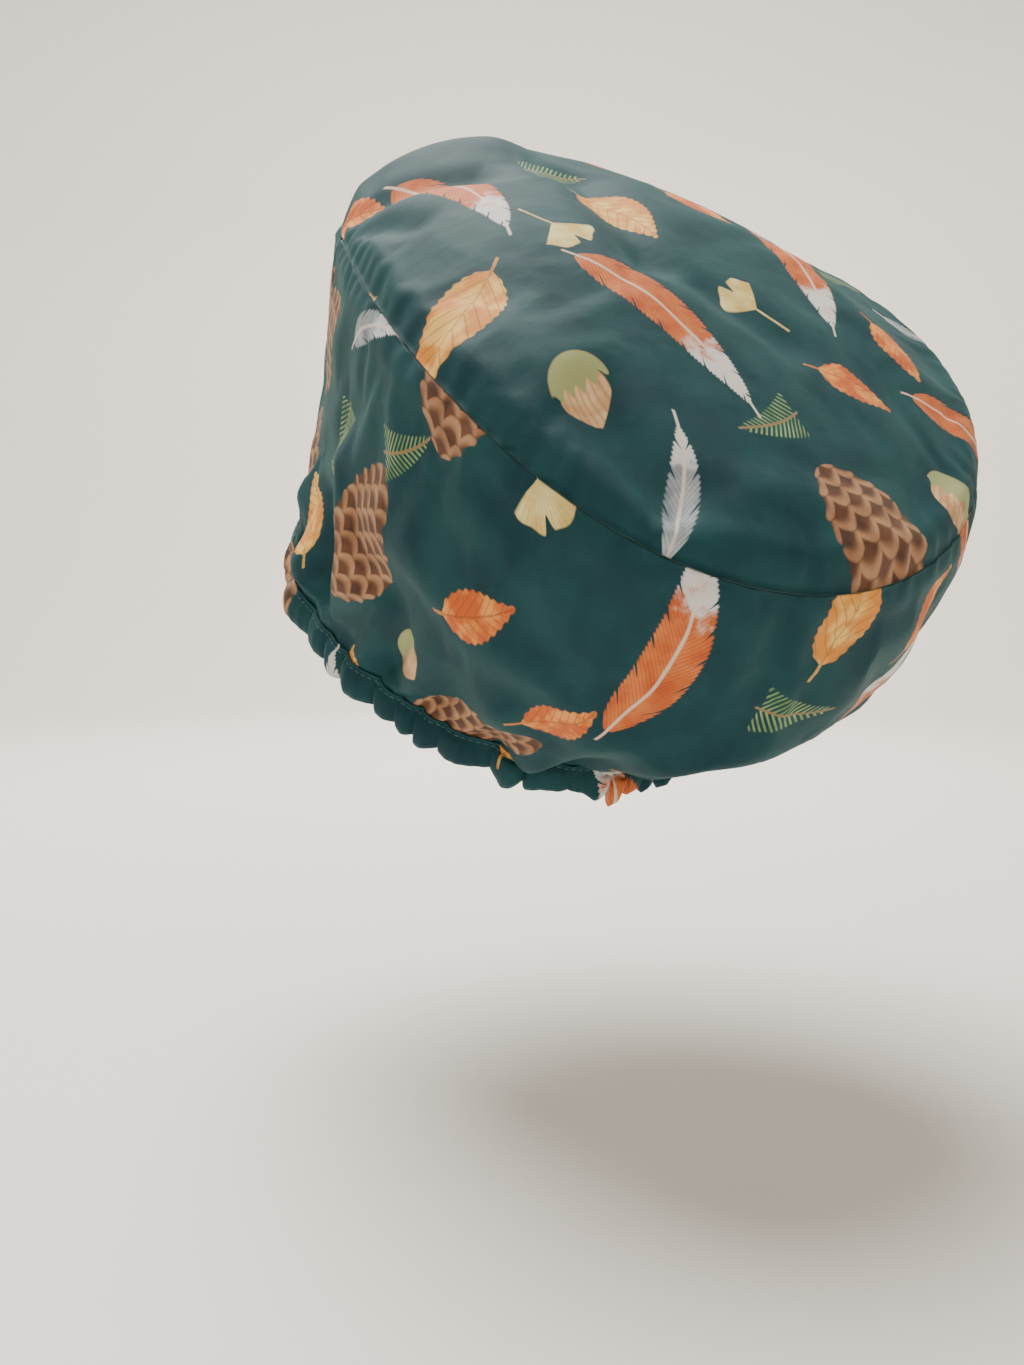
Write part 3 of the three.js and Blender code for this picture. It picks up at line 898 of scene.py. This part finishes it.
def blend(tree, share, first, second):
    """A colour between two colours: each is three numbers or another blend's socket."""
    node = tree.nodes.new("ShaderNodeMix")
    node.data_type = "RGBA"
    tree.links.new(share.socket, node.inputs["Factor"])
    for slot, color in ((node.inputs[6], first), (node.inputs[7], second)):
        if isinstance(color, tuple):
            slot.default_value = (*color, 1)
        else:
            tree.links.new(color, slot)
    return node.outputs[2]


def motif(name, draw):
    """A node group with inputs x, y and wash, and outputs mask and color, filled in by draw."""
    tree = bpy.data.node_groups.new(name, "ShaderNodeTree")
    fields = ("x", "y", "wash")
    for field in fields:
        tree.interface.new_socket(field, in_out="INPUT", socket_type="NodeSocketFloat")
    tree.interface.new_socket("mask", in_out="OUTPUT", socket_type="NodeSocketFloat")
    tree.interface.new_socket("color", in_out="OUTPUT", socket_type="NodeSocketColor")
    entry = tree.nodes.new("NodeGroupInput")
    ending = tree.nodes.new("NodeGroupOutput")
    mask, color = draw(tree, *(Term(tree, entry.outputs[field]) for field in fields))
    tree.links.new(mask.socket, ending.inputs["mask"])
    tree.links.new(color, ending.inputs["color"])
    return tree


def new_material(name):
    """A new material, its node tree and its main shader."""
    material = bpy.data.materials.new(name)
    material.use_nodes = True
    tree = material.node_tree
    return material, tree, tree.nodes["Principled BSDF"]


def own_place(tree):
    """Millimetres along each of the object's own axes."""
    place = tree.nodes.new("ShaderNodeTexCoord")
    parts = tree.nodes.new("ShaderNodeSeparateXYZ")
    tree.links.new(place.outputs["Object"], parts.inputs["Vector"])
    return [Term(tree, parts.outputs[k]) / MM for k in range(3)]


def bumped(tree, height, depth, strength=1.0):
    """A shading normal with bumps of a depth in millimetres."""
    bump = tree.nodes.new("ShaderNodeBump")
    bump.inputs["Strength"].default_value = strength
    bump.inputs["Distance"].default_value = depth * MM
    tree.links.new(height.socket, bump.inputs["Height"])
    return bump.outputs["Normal"]


print("Kinds of Math node:", len(SIGNS))

# %% [markdown]
# The motifs
#
# Each motif is a drawing in millimetres round its own middle, with y along its length. A motif needs
# an outline, which is a distance that is negative inside, and a little painted structure: scales,
# barbs, veins or needles. The wash is a slow noise that mixes a darker and a paler tone, as wet paint
# does.

# %% Pine cone and feather
def along_length(y, length):
    """Share of the way from a motif's foot to its tip, kept between 0 and 1."""
    return (y / length + 0.5).most(0.0).least(1.0)


def between_ends(y, length, beyond=0.0):
    """A mask of a motif's length, and of a little beyond both of its ends."""
    return (abs(y) - (length * 0.5 + beyond)).within()


def darker(color, share):
    return tuple(channel * share for channel in color)


def pine_cone(tree, x, y, wash):
    length, half, row, scale = 68.0, 19.0, 6.2, 9.5
    t = along_length(y, length)
    side = (t * math.pi).sin().power(0.62) * (t * -0.45 + 1.2) * half
    band = y / row
    across = (x / scale + band.floor() * 0.5).fract() - 0.5
    arc = band.fract() + across * across * 2.4
    ragged = (arc * 2 * math.pi).sin() * 0.7
    mask = (abs(x) - side + ragged).within(0.5) * between_ends(y, length)
    lit = arc.smooth(0.15, 0.75) * arc.smooth(0.85, 1.05).inverse()
    bark = blend(tree, wash, (0.060, 0.022, 0.012), (0.150, 0.058, 0.028))
    tips = blend(tree, wash, (0.30, 0.135, 0.065), (0.46, 0.25, 0.13))
    return mask, blend(tree, lit, bark, tips)


def feather(length, half, bend, body, pale, tip):
    """A feather painter for a length, half width, bend and three colours."""
    def draw(tree, x, y, wash):
        t = along_length(y, length)
        across = x - y * y * bend
        side = (t.power(0.75) * math.pi).sin().power(0.6) * half
        barbs = ((y + abs(across) * -1.3) / 1.9).fract()
        split = ((y - abs(across) * 1.3) / 11.0).fract().smooth(0.0, 0.16).inverse()
        vane = (abs(across) - side + split * 2.6 + barbs * 0.7).within(0.4) * between_ends(y, length)
        quill = (abs(across) - 0.55).within(0.25) * between_ends(y, length, 5.0)
        vane_color = blend(tree, wash, body, pale)
        streaked = blend(tree, barbs.smooth(0.5, 1.0) * 0.45, vane_color, darker(body, 0.45))
        to_tip = (t + wash * 0.16 + barbs * 0.03).smooth(0.74, 0.84)
        tipped = blend(tree, to_tip, streaked, tip)
        return vane.most(quill), blend(tree, quill * 0.8, tipped, (0.72, 0.62, 0.50))
    return draw


print("Drawn: pine cone and feathers")

# %% Leaf, fan leaf, nut and sprig
def birch_leaf(length, half, dark, light):
    """A pointed leaf painter for a length, half width and two colours."""
    def draw(tree, x, y, wash):
        t = along_length(y, length)
        bent = x - y * y * 0.006
        teeth = (y * 2.1).sin() * 0.35
        side = (t.power(0.7) * math.pi).sin() * half
        blade = (abs(bent) - side + teeth).within(0.35) * between_ends(y, length)
        stalk = (abs(bent) - 0.55).within(0.25) * between_ends(y, length, 6.0)
        foot = t.smooth(0.0, 0.7).inverse()
        vein = abs(((y - abs(bent) * 1.05) / (length * 0.12)).fract() - 0.5).smooth(0.03, 0.10).inverse()
        midrib = (abs(bent) - 0.35).within(0.25)
        painted = blend(tree, (wash + abs(bent) / half * 0.35).smooth(0.2, 0.95), light, dark)
        veined = blend(tree, vein.most(midrib) * 0.55, painted, darker(dark, 0.42))
        return blade.most(stalk * foot), veined
    return draw


def fan_leaf(tree, x, y, wash):
    low = y + 6.0
    reach = (x * x + low * low).root()
    angle = x.made("ARCTAN2", low)
    notch = abs(angle).smooth(0.0, 0.16).inverse() * 5.0
    rim = (angle * 9.0).sin() * 0.5 + notch
    fan = (reach - 15.0 + rim).within(0.4) * abs(angle).smooth(0.95, 1.05).inverse()
    stalk = (abs(x + low * 0.12) - 0.5).within(0.25) * (abs(low + 6.5) - 7.0).within()
    rays = (angle * 44.0).sin().smooth(0.2, 1.0) * 0.35
    painted = blend(tree, wash, (0.62, 0.42, 0.10), (0.86, 0.74, 0.33))
    return fan.most(stalk), blend(tree, rays, painted, (0.40, 0.33, 0.10))


def hazelnut(tree, x, y, wash):
    point = y.smooth(2.0, 11.0) * 2.2
    shell = ((x * x + y * y).root() - 9.0 - point * 0.4 + abs(x) * point * 0.25).within(0.4)
    frill = (x * 1.35).sin() * 1.3
    cup_edge = y + 2.5 + frill
    cup = ((x * x * 0.85 + (y + 3.0) * (y + 3.0)).root() - 10.0).within(0.4) * cup_edge.within(0.5)
    stripes = (x * 2.6).sin().smooth(0.1, 1.0) * 0.4
    shell_color = blend(tree, wash, (0.46, 0.22, 0.085), (0.78, 0.52, 0.27))
    striped = blend(tree, stripes, shell_color, (0.30, 0.12, 0.05))
    return shell.most(cup), blend(tree, cup, striped, (0.33, 0.36, 0.15))


def fir_sprig(tree, x, y, wash):
    length, reach, pitch = 26.0, 7.5, 2.3
    t = along_length(y, length)
    bent = x - y * y * 0.01
    stem = (abs(bent) - 0.45).within(0.2) * between_ends(y, length, 2.0)
    needle = abs(((y - abs(bent) * 0.9) / pitch).fract() - 0.5).smooth(0.16, 0.26).inverse()
    spread = (abs(bent) - t.inverse() * reach - 1.4).within(0.4)
    needles = needle * spread * between_ends(y, length)
    painted = blend(tree, wash, (0.10, 0.19, 0.06), (0.30, 0.42, 0.17))
    return stem.most(needles), blend(tree, stem, painted, (0.28, 0.17, 0.08))


PAINTERS = {
    "pine_cone": pine_cone,
    "red_feather": feather(
        76.0, 9.5, 0.004, body=(0.50, 0.085, 0.018), pale=(0.68, 0.19, 0.045), tip=(0.66, 0.64, 0.61)
    ),
    "grey_feather": feather(
        40.0, 5.5, -0.008, body=(0.16, 0.19, 0.22), pale=(0.42, 0.45, 0.47), tip=(0.62, 0.62, 0.61)
    ),
    "gold_leaf": birch_leaf(42.0, 11.5, dark=(0.68, 0.25, 0.035), light=(0.86, 0.52, 0.13)),
    "rust_leaf": birch_leaf(31.0, 8.0, dark=(0.58, 0.115, 0.022), light=(0.84, 0.33, 0.07)),
    "fan_leaf": fan_leaf,
    "hazelnut": hazelnut,
    "fir_sprig": fir_sprig,
}
MOTIFS = {name: motif(name, painter) for name, painter in PAINTERS.items()}
print("Motifs:", ", ".join(MOTIFS))

# %% [markdown]
# Scattering the motifs
#
# A textile print repeats on a grid. Here four grids share one square of cloth: large motifs in the
# middle of each square, middle-sized ones at its corners, and small ones half way along its sides,
# which takes two grids. White noise, read once for each square, nudges and turns each motif and picks
# its kind, so nothing lines up with the seams.

# %% The print
PRINT_SQUARE = 98.0          # millimetres of cloth from one large motif to the next
PRINT_TURN = 24.0            # degrees between the print and the cloth's edge
INK = 0.95                   # how well the ink covers the ground
PRINT_LAYERS = (
    # shift along and across (squares), seed, nudge (mm), lean and swing (degrees), kinds by share
    (0.0, 0.0, 3.0, 5.0, 0.0, 32.0, (("pine_cone", 0.5), ("red_feather", 1.0))),
    (0.5, 0.5, 11.0, 6.0, 70.0, 170.0, (("gold_leaf", 0.4), ("grey_feather", 0.65), ("rust_leaf", 1.0))),
    (0.5, 0.0, 23.0, 4.0, 0.0, 180.0, (("fan_leaf", 0.35), ("hazelnut", 0.7), ("fir_sprig", 1.0))),
    (0.0, 0.5, 41.0, 3.0, 0.0, 180.0, (("fir_sprig", 0.3), ("rust_leaf", 0.55), ("fan_leaf", 0.75))),
)


def flat_place(tree):
    """The cloth's own flat place in millimetres, along and across."""
    uv = tree.nodes.new("ShaderNodeUVMap")
    uv.uv_map = "cloth"
    parts = tree.nodes.new("ShaderNodeSeparateXYZ")
    tree.links.new(uv.outputs["UV"], parts.inputs["Vector"])
    return Term(tree, parts.outputs["X"]) / MM, Term(tree, parts.outputs["Y"]) / MM


def noise(tree, u, v, size, seed, detail=2.0):
    """Soft noise with blobs of a size in millimetres."""
    place = tree.nodes.new("ShaderNodeCombineXYZ")
    for slot, value in zip(place.inputs, (u / size, v / size)):
        tree.links.new(value.socket, slot)
    place.inputs["Z"].default_value = seed
    texture = tree.nodes.new("ShaderNodeTexNoise")
    texture.inputs["Scale"].default_value = 1.0
    texture.inputs["Detail"].default_value = detail
    tree.links.new(place.outputs["Vector"], texture.inputs["Vector"])
    return Term(tree, texture.outputs["Fac"])


def scattered(tree, u, v, seed, nudge, lean, swing):
    """Place round the nearest motif of a grid, and that motif's own random number."""
    corner = tree.nodes.new("ShaderNodeCombineXYZ")
    tree.links.new(u.floor().socket, corner.inputs["X"])
    tree.links.new(v.floor().socket, corner.inputs["Y"])
    corner.inputs["Z"].default_value = seed
    dice = tree.nodes.new("ShaderNodeTexWhiteNoise")
    tree.links.new(corner.outputs["Vector"], dice.inputs["Vector"])
    parts = tree.nodes.new("ShaderNodeSeparateColor")
    tree.links.new(dice.outputs["Color"], parts.inputs["Color"])
    first, second, third = (Term(tree, parts.outputs[k]) - 0.5 for k in range(3))
    a = (u.fract() - 0.5) * PRINT_SQUARE + first * (2 * nudge)
    b = (v.fract() - 0.5) * PRINT_SQUARE + second * (2 * nudge)
    angle = third * math.radians(2 * swing) + math.radians(lean)
    x = a * angle.cos() + b * angle.sin()
    y = b * angle.cos() - a * angle.sin()
    return x, y, Term(tree, dice.outputs["Value"])


def printed(tree, u, v, ground):
    """The printed colour over a ground colour at a flat place, and where the ink is."""
    slant = math.radians(PRINT_TURN)
    across = (u * math.cos(slant) + v * math.sin(slant)) / PRINT_SQUARE
    along = (v * math.cos(slant) - u * math.sin(slant)) / PRINT_SQUARE
    wash = noise(tree, u, v, 9.0, 2.0, detail=4.0).smooth(0.3, 0.7)
    color = ground
    for shift_a, shift_b, seed, nudge, lean, swing, kinds in PRINT_LAYERS:
        x, y, pick = scattered(tree, across + shift_a, along + shift_b, seed, nudge, lean, swing)
        low = 0.0
        for name, high in kinds:
            stamp = tree.nodes.new("ShaderNodeGroup")
            stamp.node_tree = MOTIFS[name]
            for slot, value in (("x", x), ("y", y), ("wash", wash)):
                tree.links.new(value.socket, stamp.inputs[slot])
            chosen = pick.made("GREATER_THAN", low) * pick.made("LESS_THAN", high)
            ink = Term(tree, stamp.outputs["mask"]) * chosen * INK
            color = blend(tree, ink, color, stamp.outputs["color"])
            low = high
    return color


print("Motifs in the print:", sum(len(layer[-1]) for layer in PRINT_LAYERS))

# %% [markdown]
# The cotton
#
# The cloth is a smooth polyester and cotton weave with a faint shine. Its threads are under a third
# of a millimetre apart, so they are bump, not mesh. A soft sheen lightens it where it turns away, and
# a slow noise keeps the dye from looking flat. The reverse shows the ground colour paler and hardly
# any of the print.

# %% Cotton materials
THREAD = 0.42                # millimetres from one thread to the next
WEAVE_DEPTH = 0.06           # millimetres
GROUND_DARK = (0.003, 0.031, 0.042)
GROUND_LIGHT = (0.007, 0.052, 0.058)
REVERSE = (0.16, 0.27, 0.25)


def weave_normal(tree, u, v, strength):
    """Bump of crossing threads with slight slubs, and a few fine creases."""
    weft = (u * (2 * math.pi / THREAD)).sin()
    warp = (v * (2 * math.pi / THREAD)).sin()
    threads = weft * warp * 0.5 + noise(tree, u, v, 0.8, 5.0) * 0.4
    creases = noise(tree, u * 0.6, v, 5.0, 8.0, detail=3.0) * 6.0
    return bumped(tree, threads + creases, WEAVE_DEPTH, strength)


def cotton(name, with_print):
    """The printed face of the cloth, or its paler and rougher reverse."""
    material, tree, shader = new_material(name)
    u, v = flat_place(tree)
    dye = noise(tree, u, v, 22.0, 1.0, detail=3.0).smooth(0.3, 0.7)
    ground = blend(tree, dye, GROUND_DARK, GROUND_LIGHT)
    if with_print:
        color, relief, roughness = printed(tree, u, v, ground), 0.6, 0.66
    else:
        color, relief, roughness = blend(tree, dye * 0.25 + 0.35, ground, REVERSE), 0.9, 0.75
    tree.links.new(color, shader.inputs["Base Color"])
    tree.links.new(weave_normal(tree, u, v, relief), shader.inputs["Normal"])
    shader.inputs["Roughness"].default_value = roughness
    shader.inputs["Sheen Weight"].default_value = 0.07
    shader.inputs["Sheen Roughness"].default_value = 0.45
    shader.inputs["Sheen Tint"].default_value = (0.35, 0.78, 0.68, 1)
    shader.inputs["Specular IOR Level"].default_value = 0.2
    return material


printed_cotton = cotton("printed_cotton", True)
cotton_reverse = cotton("cotton_reverse", False)
for piece in CLOTHS:
    piece.data.materials.append(printed_cotton)
    piece.data.materials.append(cotton_reverse)
    piece.modifiers["thickness"].material_offset = 1
print("Nodes in the printed cotton:", len(printed_cotton.node_tree.nodes))

# %% [markdown]
# Stitches
#
# The casing is closed by a row of machine stitches just below the gathers. They follow a path and
# repeat, which is what Geometry Nodes are for: the path is resampled at the stitches' pitch, a small
# rounded stitch is put on each point and turned along the path, and the result is made one mesh.

# %% Stitches
STITCH_PITCH = 2.8
STITCH_LENGTH = 2.1
STITCH_THICKNESS = 0.42
STITCH_ROW = {"out": 1.35, "up": 0.87, "share": 0.65, "lean": 0.1}     # on the casing's outer wall


def thread_material():
    """Dark green thread, with a paler line that winds round it."""
    material, tree, shader = new_material("sewing_thread")
    x, y, z = own_place(tree)
    twist = ((x + y * 0.7 + z * 1.3) * 9.0).sin().smooth(-1.0, 1.0)
    color = blend(tree, twist, (0.02, 0.075, 0.07), (0.05, 0.14, 0.13))
    tree.links.new(color, shader.inputs["Base Color"])
    shader.inputs["Roughness"].default_value = 0.5
    shader.inputs["Sheen Weight"].default_value = 0.2
    return material


def stitch_tree(material):
    """Geometry nodes that put a rounded stitch at every pitch of a path."""
    tree = bpy.data.node_groups.new("stitches", "GeometryNodeTree")
    tree.interface.new_socket("Path", in_out="INPUT", socket_type="NodeSocketGeometry")
    for field in ("Pitch", "Length", "Thickness"):
        tree.interface.new_socket(field, in_out="INPUT", socket_type="NodeSocketFloat")
    tree.interface.new_socket("Stitches", in_out="OUTPUT", socket_type="NodeSocketGeometry")
    add, link = tree.nodes.new, tree.links.new
    entry, ending = add("NodeGroupInput"), add("NodeGroupOutput")
    curve, resample = add("GeometryNodeMeshToCurve"), add("GeometryNodeResampleCurve")
    resample.mode = "LENGTH"
    bead = add("GeometryNodeMeshUVSphere")
    for field, value in (("Segments", 6), ("Rings", 6), ("Radius", 0.5)):
        bead.inputs[field].default_value = value
    size, tangent = add("ShaderNodeCombineXYZ"), add("GeometryNodeInputTangent")
    along, put = add("FunctionNodeAlignRotationToVector"), add("GeometryNodeInstanceOnPoints")
    along.axis = "Z"
    real, finish = add("GeometryNodeRealizeInstances"), add("GeometryNodeSetMaterial")
    finish.inputs["Material"].default_value = material
    for giver, output, taker, field in (
        (entry, "Path", curve, "Mesh"),
        (curve, "Curve", resample, "Curve"),
        (entry, "Pitch", resample, "Length"),
        (entry, "Thickness", size, "X"),
        (entry, "Thickness", size, "Y"),
        (entry, "Length", size, "Z"),
        (tangent, "Tangent", along, "Vector"),
        (resample, "Curve", put, "Points"),
        (bead, "Mesh", put, "Instance"),
        (along, "Rotation", put, "Rotation"),
        (size, "Vector", put, "Scale"),
        (put, "Instances", real, "Geometry"),
        (real, "Geometry", finish, "Geometry"),
        (finish, "Geometry", ending, "Stitches"),
    ):
        link(giver.outputs[output], taker.inputs[field])
    return tree


def sewn(name, path, tree, pitch, length, thickness):
    """Stitches along a closed path of points in millimetres, as a plain mesh object."""
    line = bpy.data.meshes.new(name + "_path")
    count = len(path)
    line.from_pydata((path * MM).tolist(), [(k, (k + 1) % count) for k in range(count)], [])
    guide = in_scene(name + "_path", line)
    maker = guide.modifiers.new("stitches", "NODES")
    maker.node_group = tree
    sizes = {"Pitch": pitch * MM, "Length": length * MM, "Thickness": thickness * MM}
    for item in tree.interface.items_tree:
        if item.in_out == "INPUT" and item.name in sizes:
            maker[item.identifier] = sizes[item.name]
    made = bpy.data.meshes.new_from_object(guide.evaluated_get(bpy.context.evaluated_depsgraph_get()))
    bpy.data.objects.remove(guide)
    made.name = name
    shade_smooth(made)
    print(name, "faces:", len(made.polygons))
    return in_scene(name, made)


casing_stitches = sewn(
    "casing_stitches", casing_ring(**STITCH_ROW), stitch_tree(thread_material()),
    STITCH_PITCH, STITCH_LENGTH, STITCH_THICKNESS,
)

# %% [markdown]
# The elastic
#
# The elastic inside the casing stays the CAD frame's own solid. It only gets a woven finish: ribs across
# the strip and along it, as off-white elastic has, and painted shade that darkens the grooves between
# them.

# %% Elastic
RIB_HEIGHT = 0.9             # millimetres from one rib to the next, up the strip
RIB_LENGTH = 1.4             # and along it


def elastic_material():
    """Off-white woven elastic, in the object's own coordinates, with painted shade in the grooves
    between its ribs.
    """
    material, tree, shader = new_material("woven_elastic")
    x, y, z = own_place(tree)
    lengthwise = (z * (2 * math.pi / RIB_HEIGHT)).sin() * 0.5
    ribs = lengthwise + ((x + y) * (2 * math.pi / RIB_LENGTH)).sin() * 0.5
    # Painted shade: the colour is darker in the grooves between the ribs and paler on their tops,
    # following the bump.
    color = blend(tree, ribs.smooth(-1.0, 1.0), (0.55, 0.53, 0.48), (0.80, 0.78, 0.73))
    tree.links.new(color, shader.inputs["Base Color"])
    tree.links.new(bumped(tree, ribs, 0.2), shader.inputs["Normal"])
    shader.inputs["Roughness"].default_value = 0.7
    return material


elastic_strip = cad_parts["elastic"]
for material_slot in elastic_strip.material_slots:
    material_slot.material = elastic_material()
print("Elastic strip's slots:", len(elastic_strip.material_slots))

# %% [markdown]
# Joining the frame
# Each cloth piece stands for its own CAD node, which is hidden but stays in the scene. Each cloth piece
# stands for its own CAD node, which stays on for collision. The cap has one body, so every piece rides
# on the root. Each sheet is declared with its flat size, so that the cloth in the model and the cloth on
# the cutting table can be compared.

# %% Pieces and the frame
for piece, node in zip(CLOTHS, ("crown_panel", "back_band", "front_band", "hem_casing")):
    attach(piece, "root")
    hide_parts(node)

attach(casing_stitches, "root")

# %% [markdown]
# Floor and backdrop
#
# The cap hangs over a plain pale floor. The floor's edge curves up all round like a paper sweep, so
# that it also serves as the backdrop from any side, with no corner and no horizon.

# %% Floor and backdrop
FLOOR_Z = -0.33              # all in metres
FLOOR_MIDDLE = 0.2
FLOOR_RADIUS = 1.8
SWEEP_RADIUS = 0.9
SWEEP_RISE = 3.0
SWEEP_STEPS = 16
FLOOR_CORNERS = 96


def floor_profile():
    """Radius and height of each ring of the floor, from the middle out and up."""
    profile = [(FLOOR_MIDDLE, 0.0), (FLOOR_RADIUS, 0.0)]
    for k in range(1, SWEEP_STEPS + 1):
        a = math.pi / 2 * k / SWEEP_STEPS
        profile.append((FLOOR_RADIUS + SWEEP_RADIUS * math.sin(a), SWEEP_RADIUS * (1 - math.cos(a))))
    return profile + [(FLOOR_RADIUS + SWEEP_RADIUS, SWEEP_RADIUS + SWEEP_RISE)]


def studio():
    """The floor as one piece, so that no view shows where it ends."""
    angle = 2 * np.pi * np.arange(FLOOR_CORNERS) / FLOOR_CORNERS
    across, along = np.cos(angle), np.sin(angle)
    profile = floor_profile()
    rings = [np.stack([r * across, r * along, np.full(len(angle), FLOOR_Z + h)], -1) for r, h in profile]
    points = np.concatenate(rings + [[[0, 0, FLOOR_Z]]])
    faces = flipped(ring_faces(len(profile), FLOOR_CORNERS)).tolist()
    faces += [[(k + 1) % FLOOR_CORNERS, k, len(points) - 1] for k in range(FLOOR_CORNERS)]
    mesh = bpy.data.meshes.new("floor")
    mesh.from_pydata(points.tolist(), [], faces)
    shade_smooth(mesh)
    paper, _, shader = new_material("pale_paper")
    shader.inputs["Base Color"].default_value = (0.86, 0.83, 0.78, 1)
    shader.inputs["Roughness"].default_value = 0.9
    mesh.materials.append(paper)
    in_scene("floor", mesh)
    print("Floor faces:", len(mesh.polygons))


studio()

# %% [markdown]
# Lights
#
# In the photograph a soft ceiling light comes from above and a little beyond the cap: the crown is
# lit and faintly shiny, the side under its rim is dark, and the background is bright. One broad disc
# overhead gives that. A weak fill keeps the folds of the side readable, and a third disc lights only
# the backdrop.

# %% Lights
LIGHTS = (
    # name, place and target (m), width (m), power (W), colour
    ("top_light", (0.1, -0.3, 1.5), (0, 0.05, 0), 1.2, 64, (1, 0.97, 0.93)),
    ("fill_light", (1.8, 1.5, 0.7), (0, 0.05, -0.05), 2.0, 4, (0.95, 0.98, 1)),
    ("backdrop_light", (-0.5, -0.75, 1.3), (-1.7, -2.5, 0.2), 1.2, 45, (1, 0.96, 0.9)),
)
ROOM_COLOR = (0.9, 0.88, 0.85, 1)
ROOM_STRENGTH = 0.16


def area_light(name, place, target, width, power, color):
    light = bpy.data.lights.new(name, "AREA")
    light.shape = "DISK"
    light.size = width
    light.energy = power
    light.color = color
    aim = np.array(target) - np.array(place)
    pitch = math.acos(-aim[2] / np.linalg.norm(aim))
    lamp = in_scene(name, light)
    lamp.location = place
    lamp.rotation_euler = (pitch, 0, math.atan2(aim[1], aim[0]) - math.pi / 2)


for row in LIGHTS:
    area_light(*row)

world = bpy.data.worlds.new("soft_room")
world.use_nodes = True
world.node_tree.nodes["Background"].inputs["Color"].default_value = ROOM_COLOR
world.node_tree.nodes["Background"].inputs["Strength"].default_value = ROOM_STRENGTH
bpy.context.scene.world = world
print("Lights:", len(LIGHTS))

# %% [markdown]
# Camera
#
# The camera stands where the photograph was taken from: behind the cap and to its left, close by,
# level with the lower part of the bag and tilted slightly down. The focal length comes from the width
# of the view in pixels.

# %% Camera
VIEW_TURN = math.radians(34)         # from straight behind, towards the wearer's left
VIEW_DOWN = math.radians(3.5)
VIEW_MIDDLE = (0, 0.015, -0.136)     # the point at the camera's own height, in metres
VIEW_DISTANCE = 0.44
VIEW_ASIDE = 0.0043
SENSOR = 36                          # millimetres
FOCAL_PIXELS = 1040
FRAME_PIXELS = 1365                  # along the photograph's longer side

look = np.array([-math.sin(VIEW_TURN), -math.cos(VIEW_TURN), 0])
right = np.array([-math.cos(VIEW_TURN), math.sin(VIEW_TURN), 0])
optics = bpy.data.cameras.new("camera")
optics.sensor_width = SENSOR
optics.lens = SENSOR * FOCAL_PIXELS / FRAME_PIXELS
camera = in_scene("camera", optics)
camera.location = np.array(VIEW_MIDDLE) - look * VIEW_DISTANCE - right * VIEW_ASIDE
camera.rotation_euler = (math.pi / 2 - VIEW_DOWN, 0, math.pi - VIEW_TURN)
bpy.context.scene.camera = camera
print("Camera at, m:", np.array(camera.location).round(3))
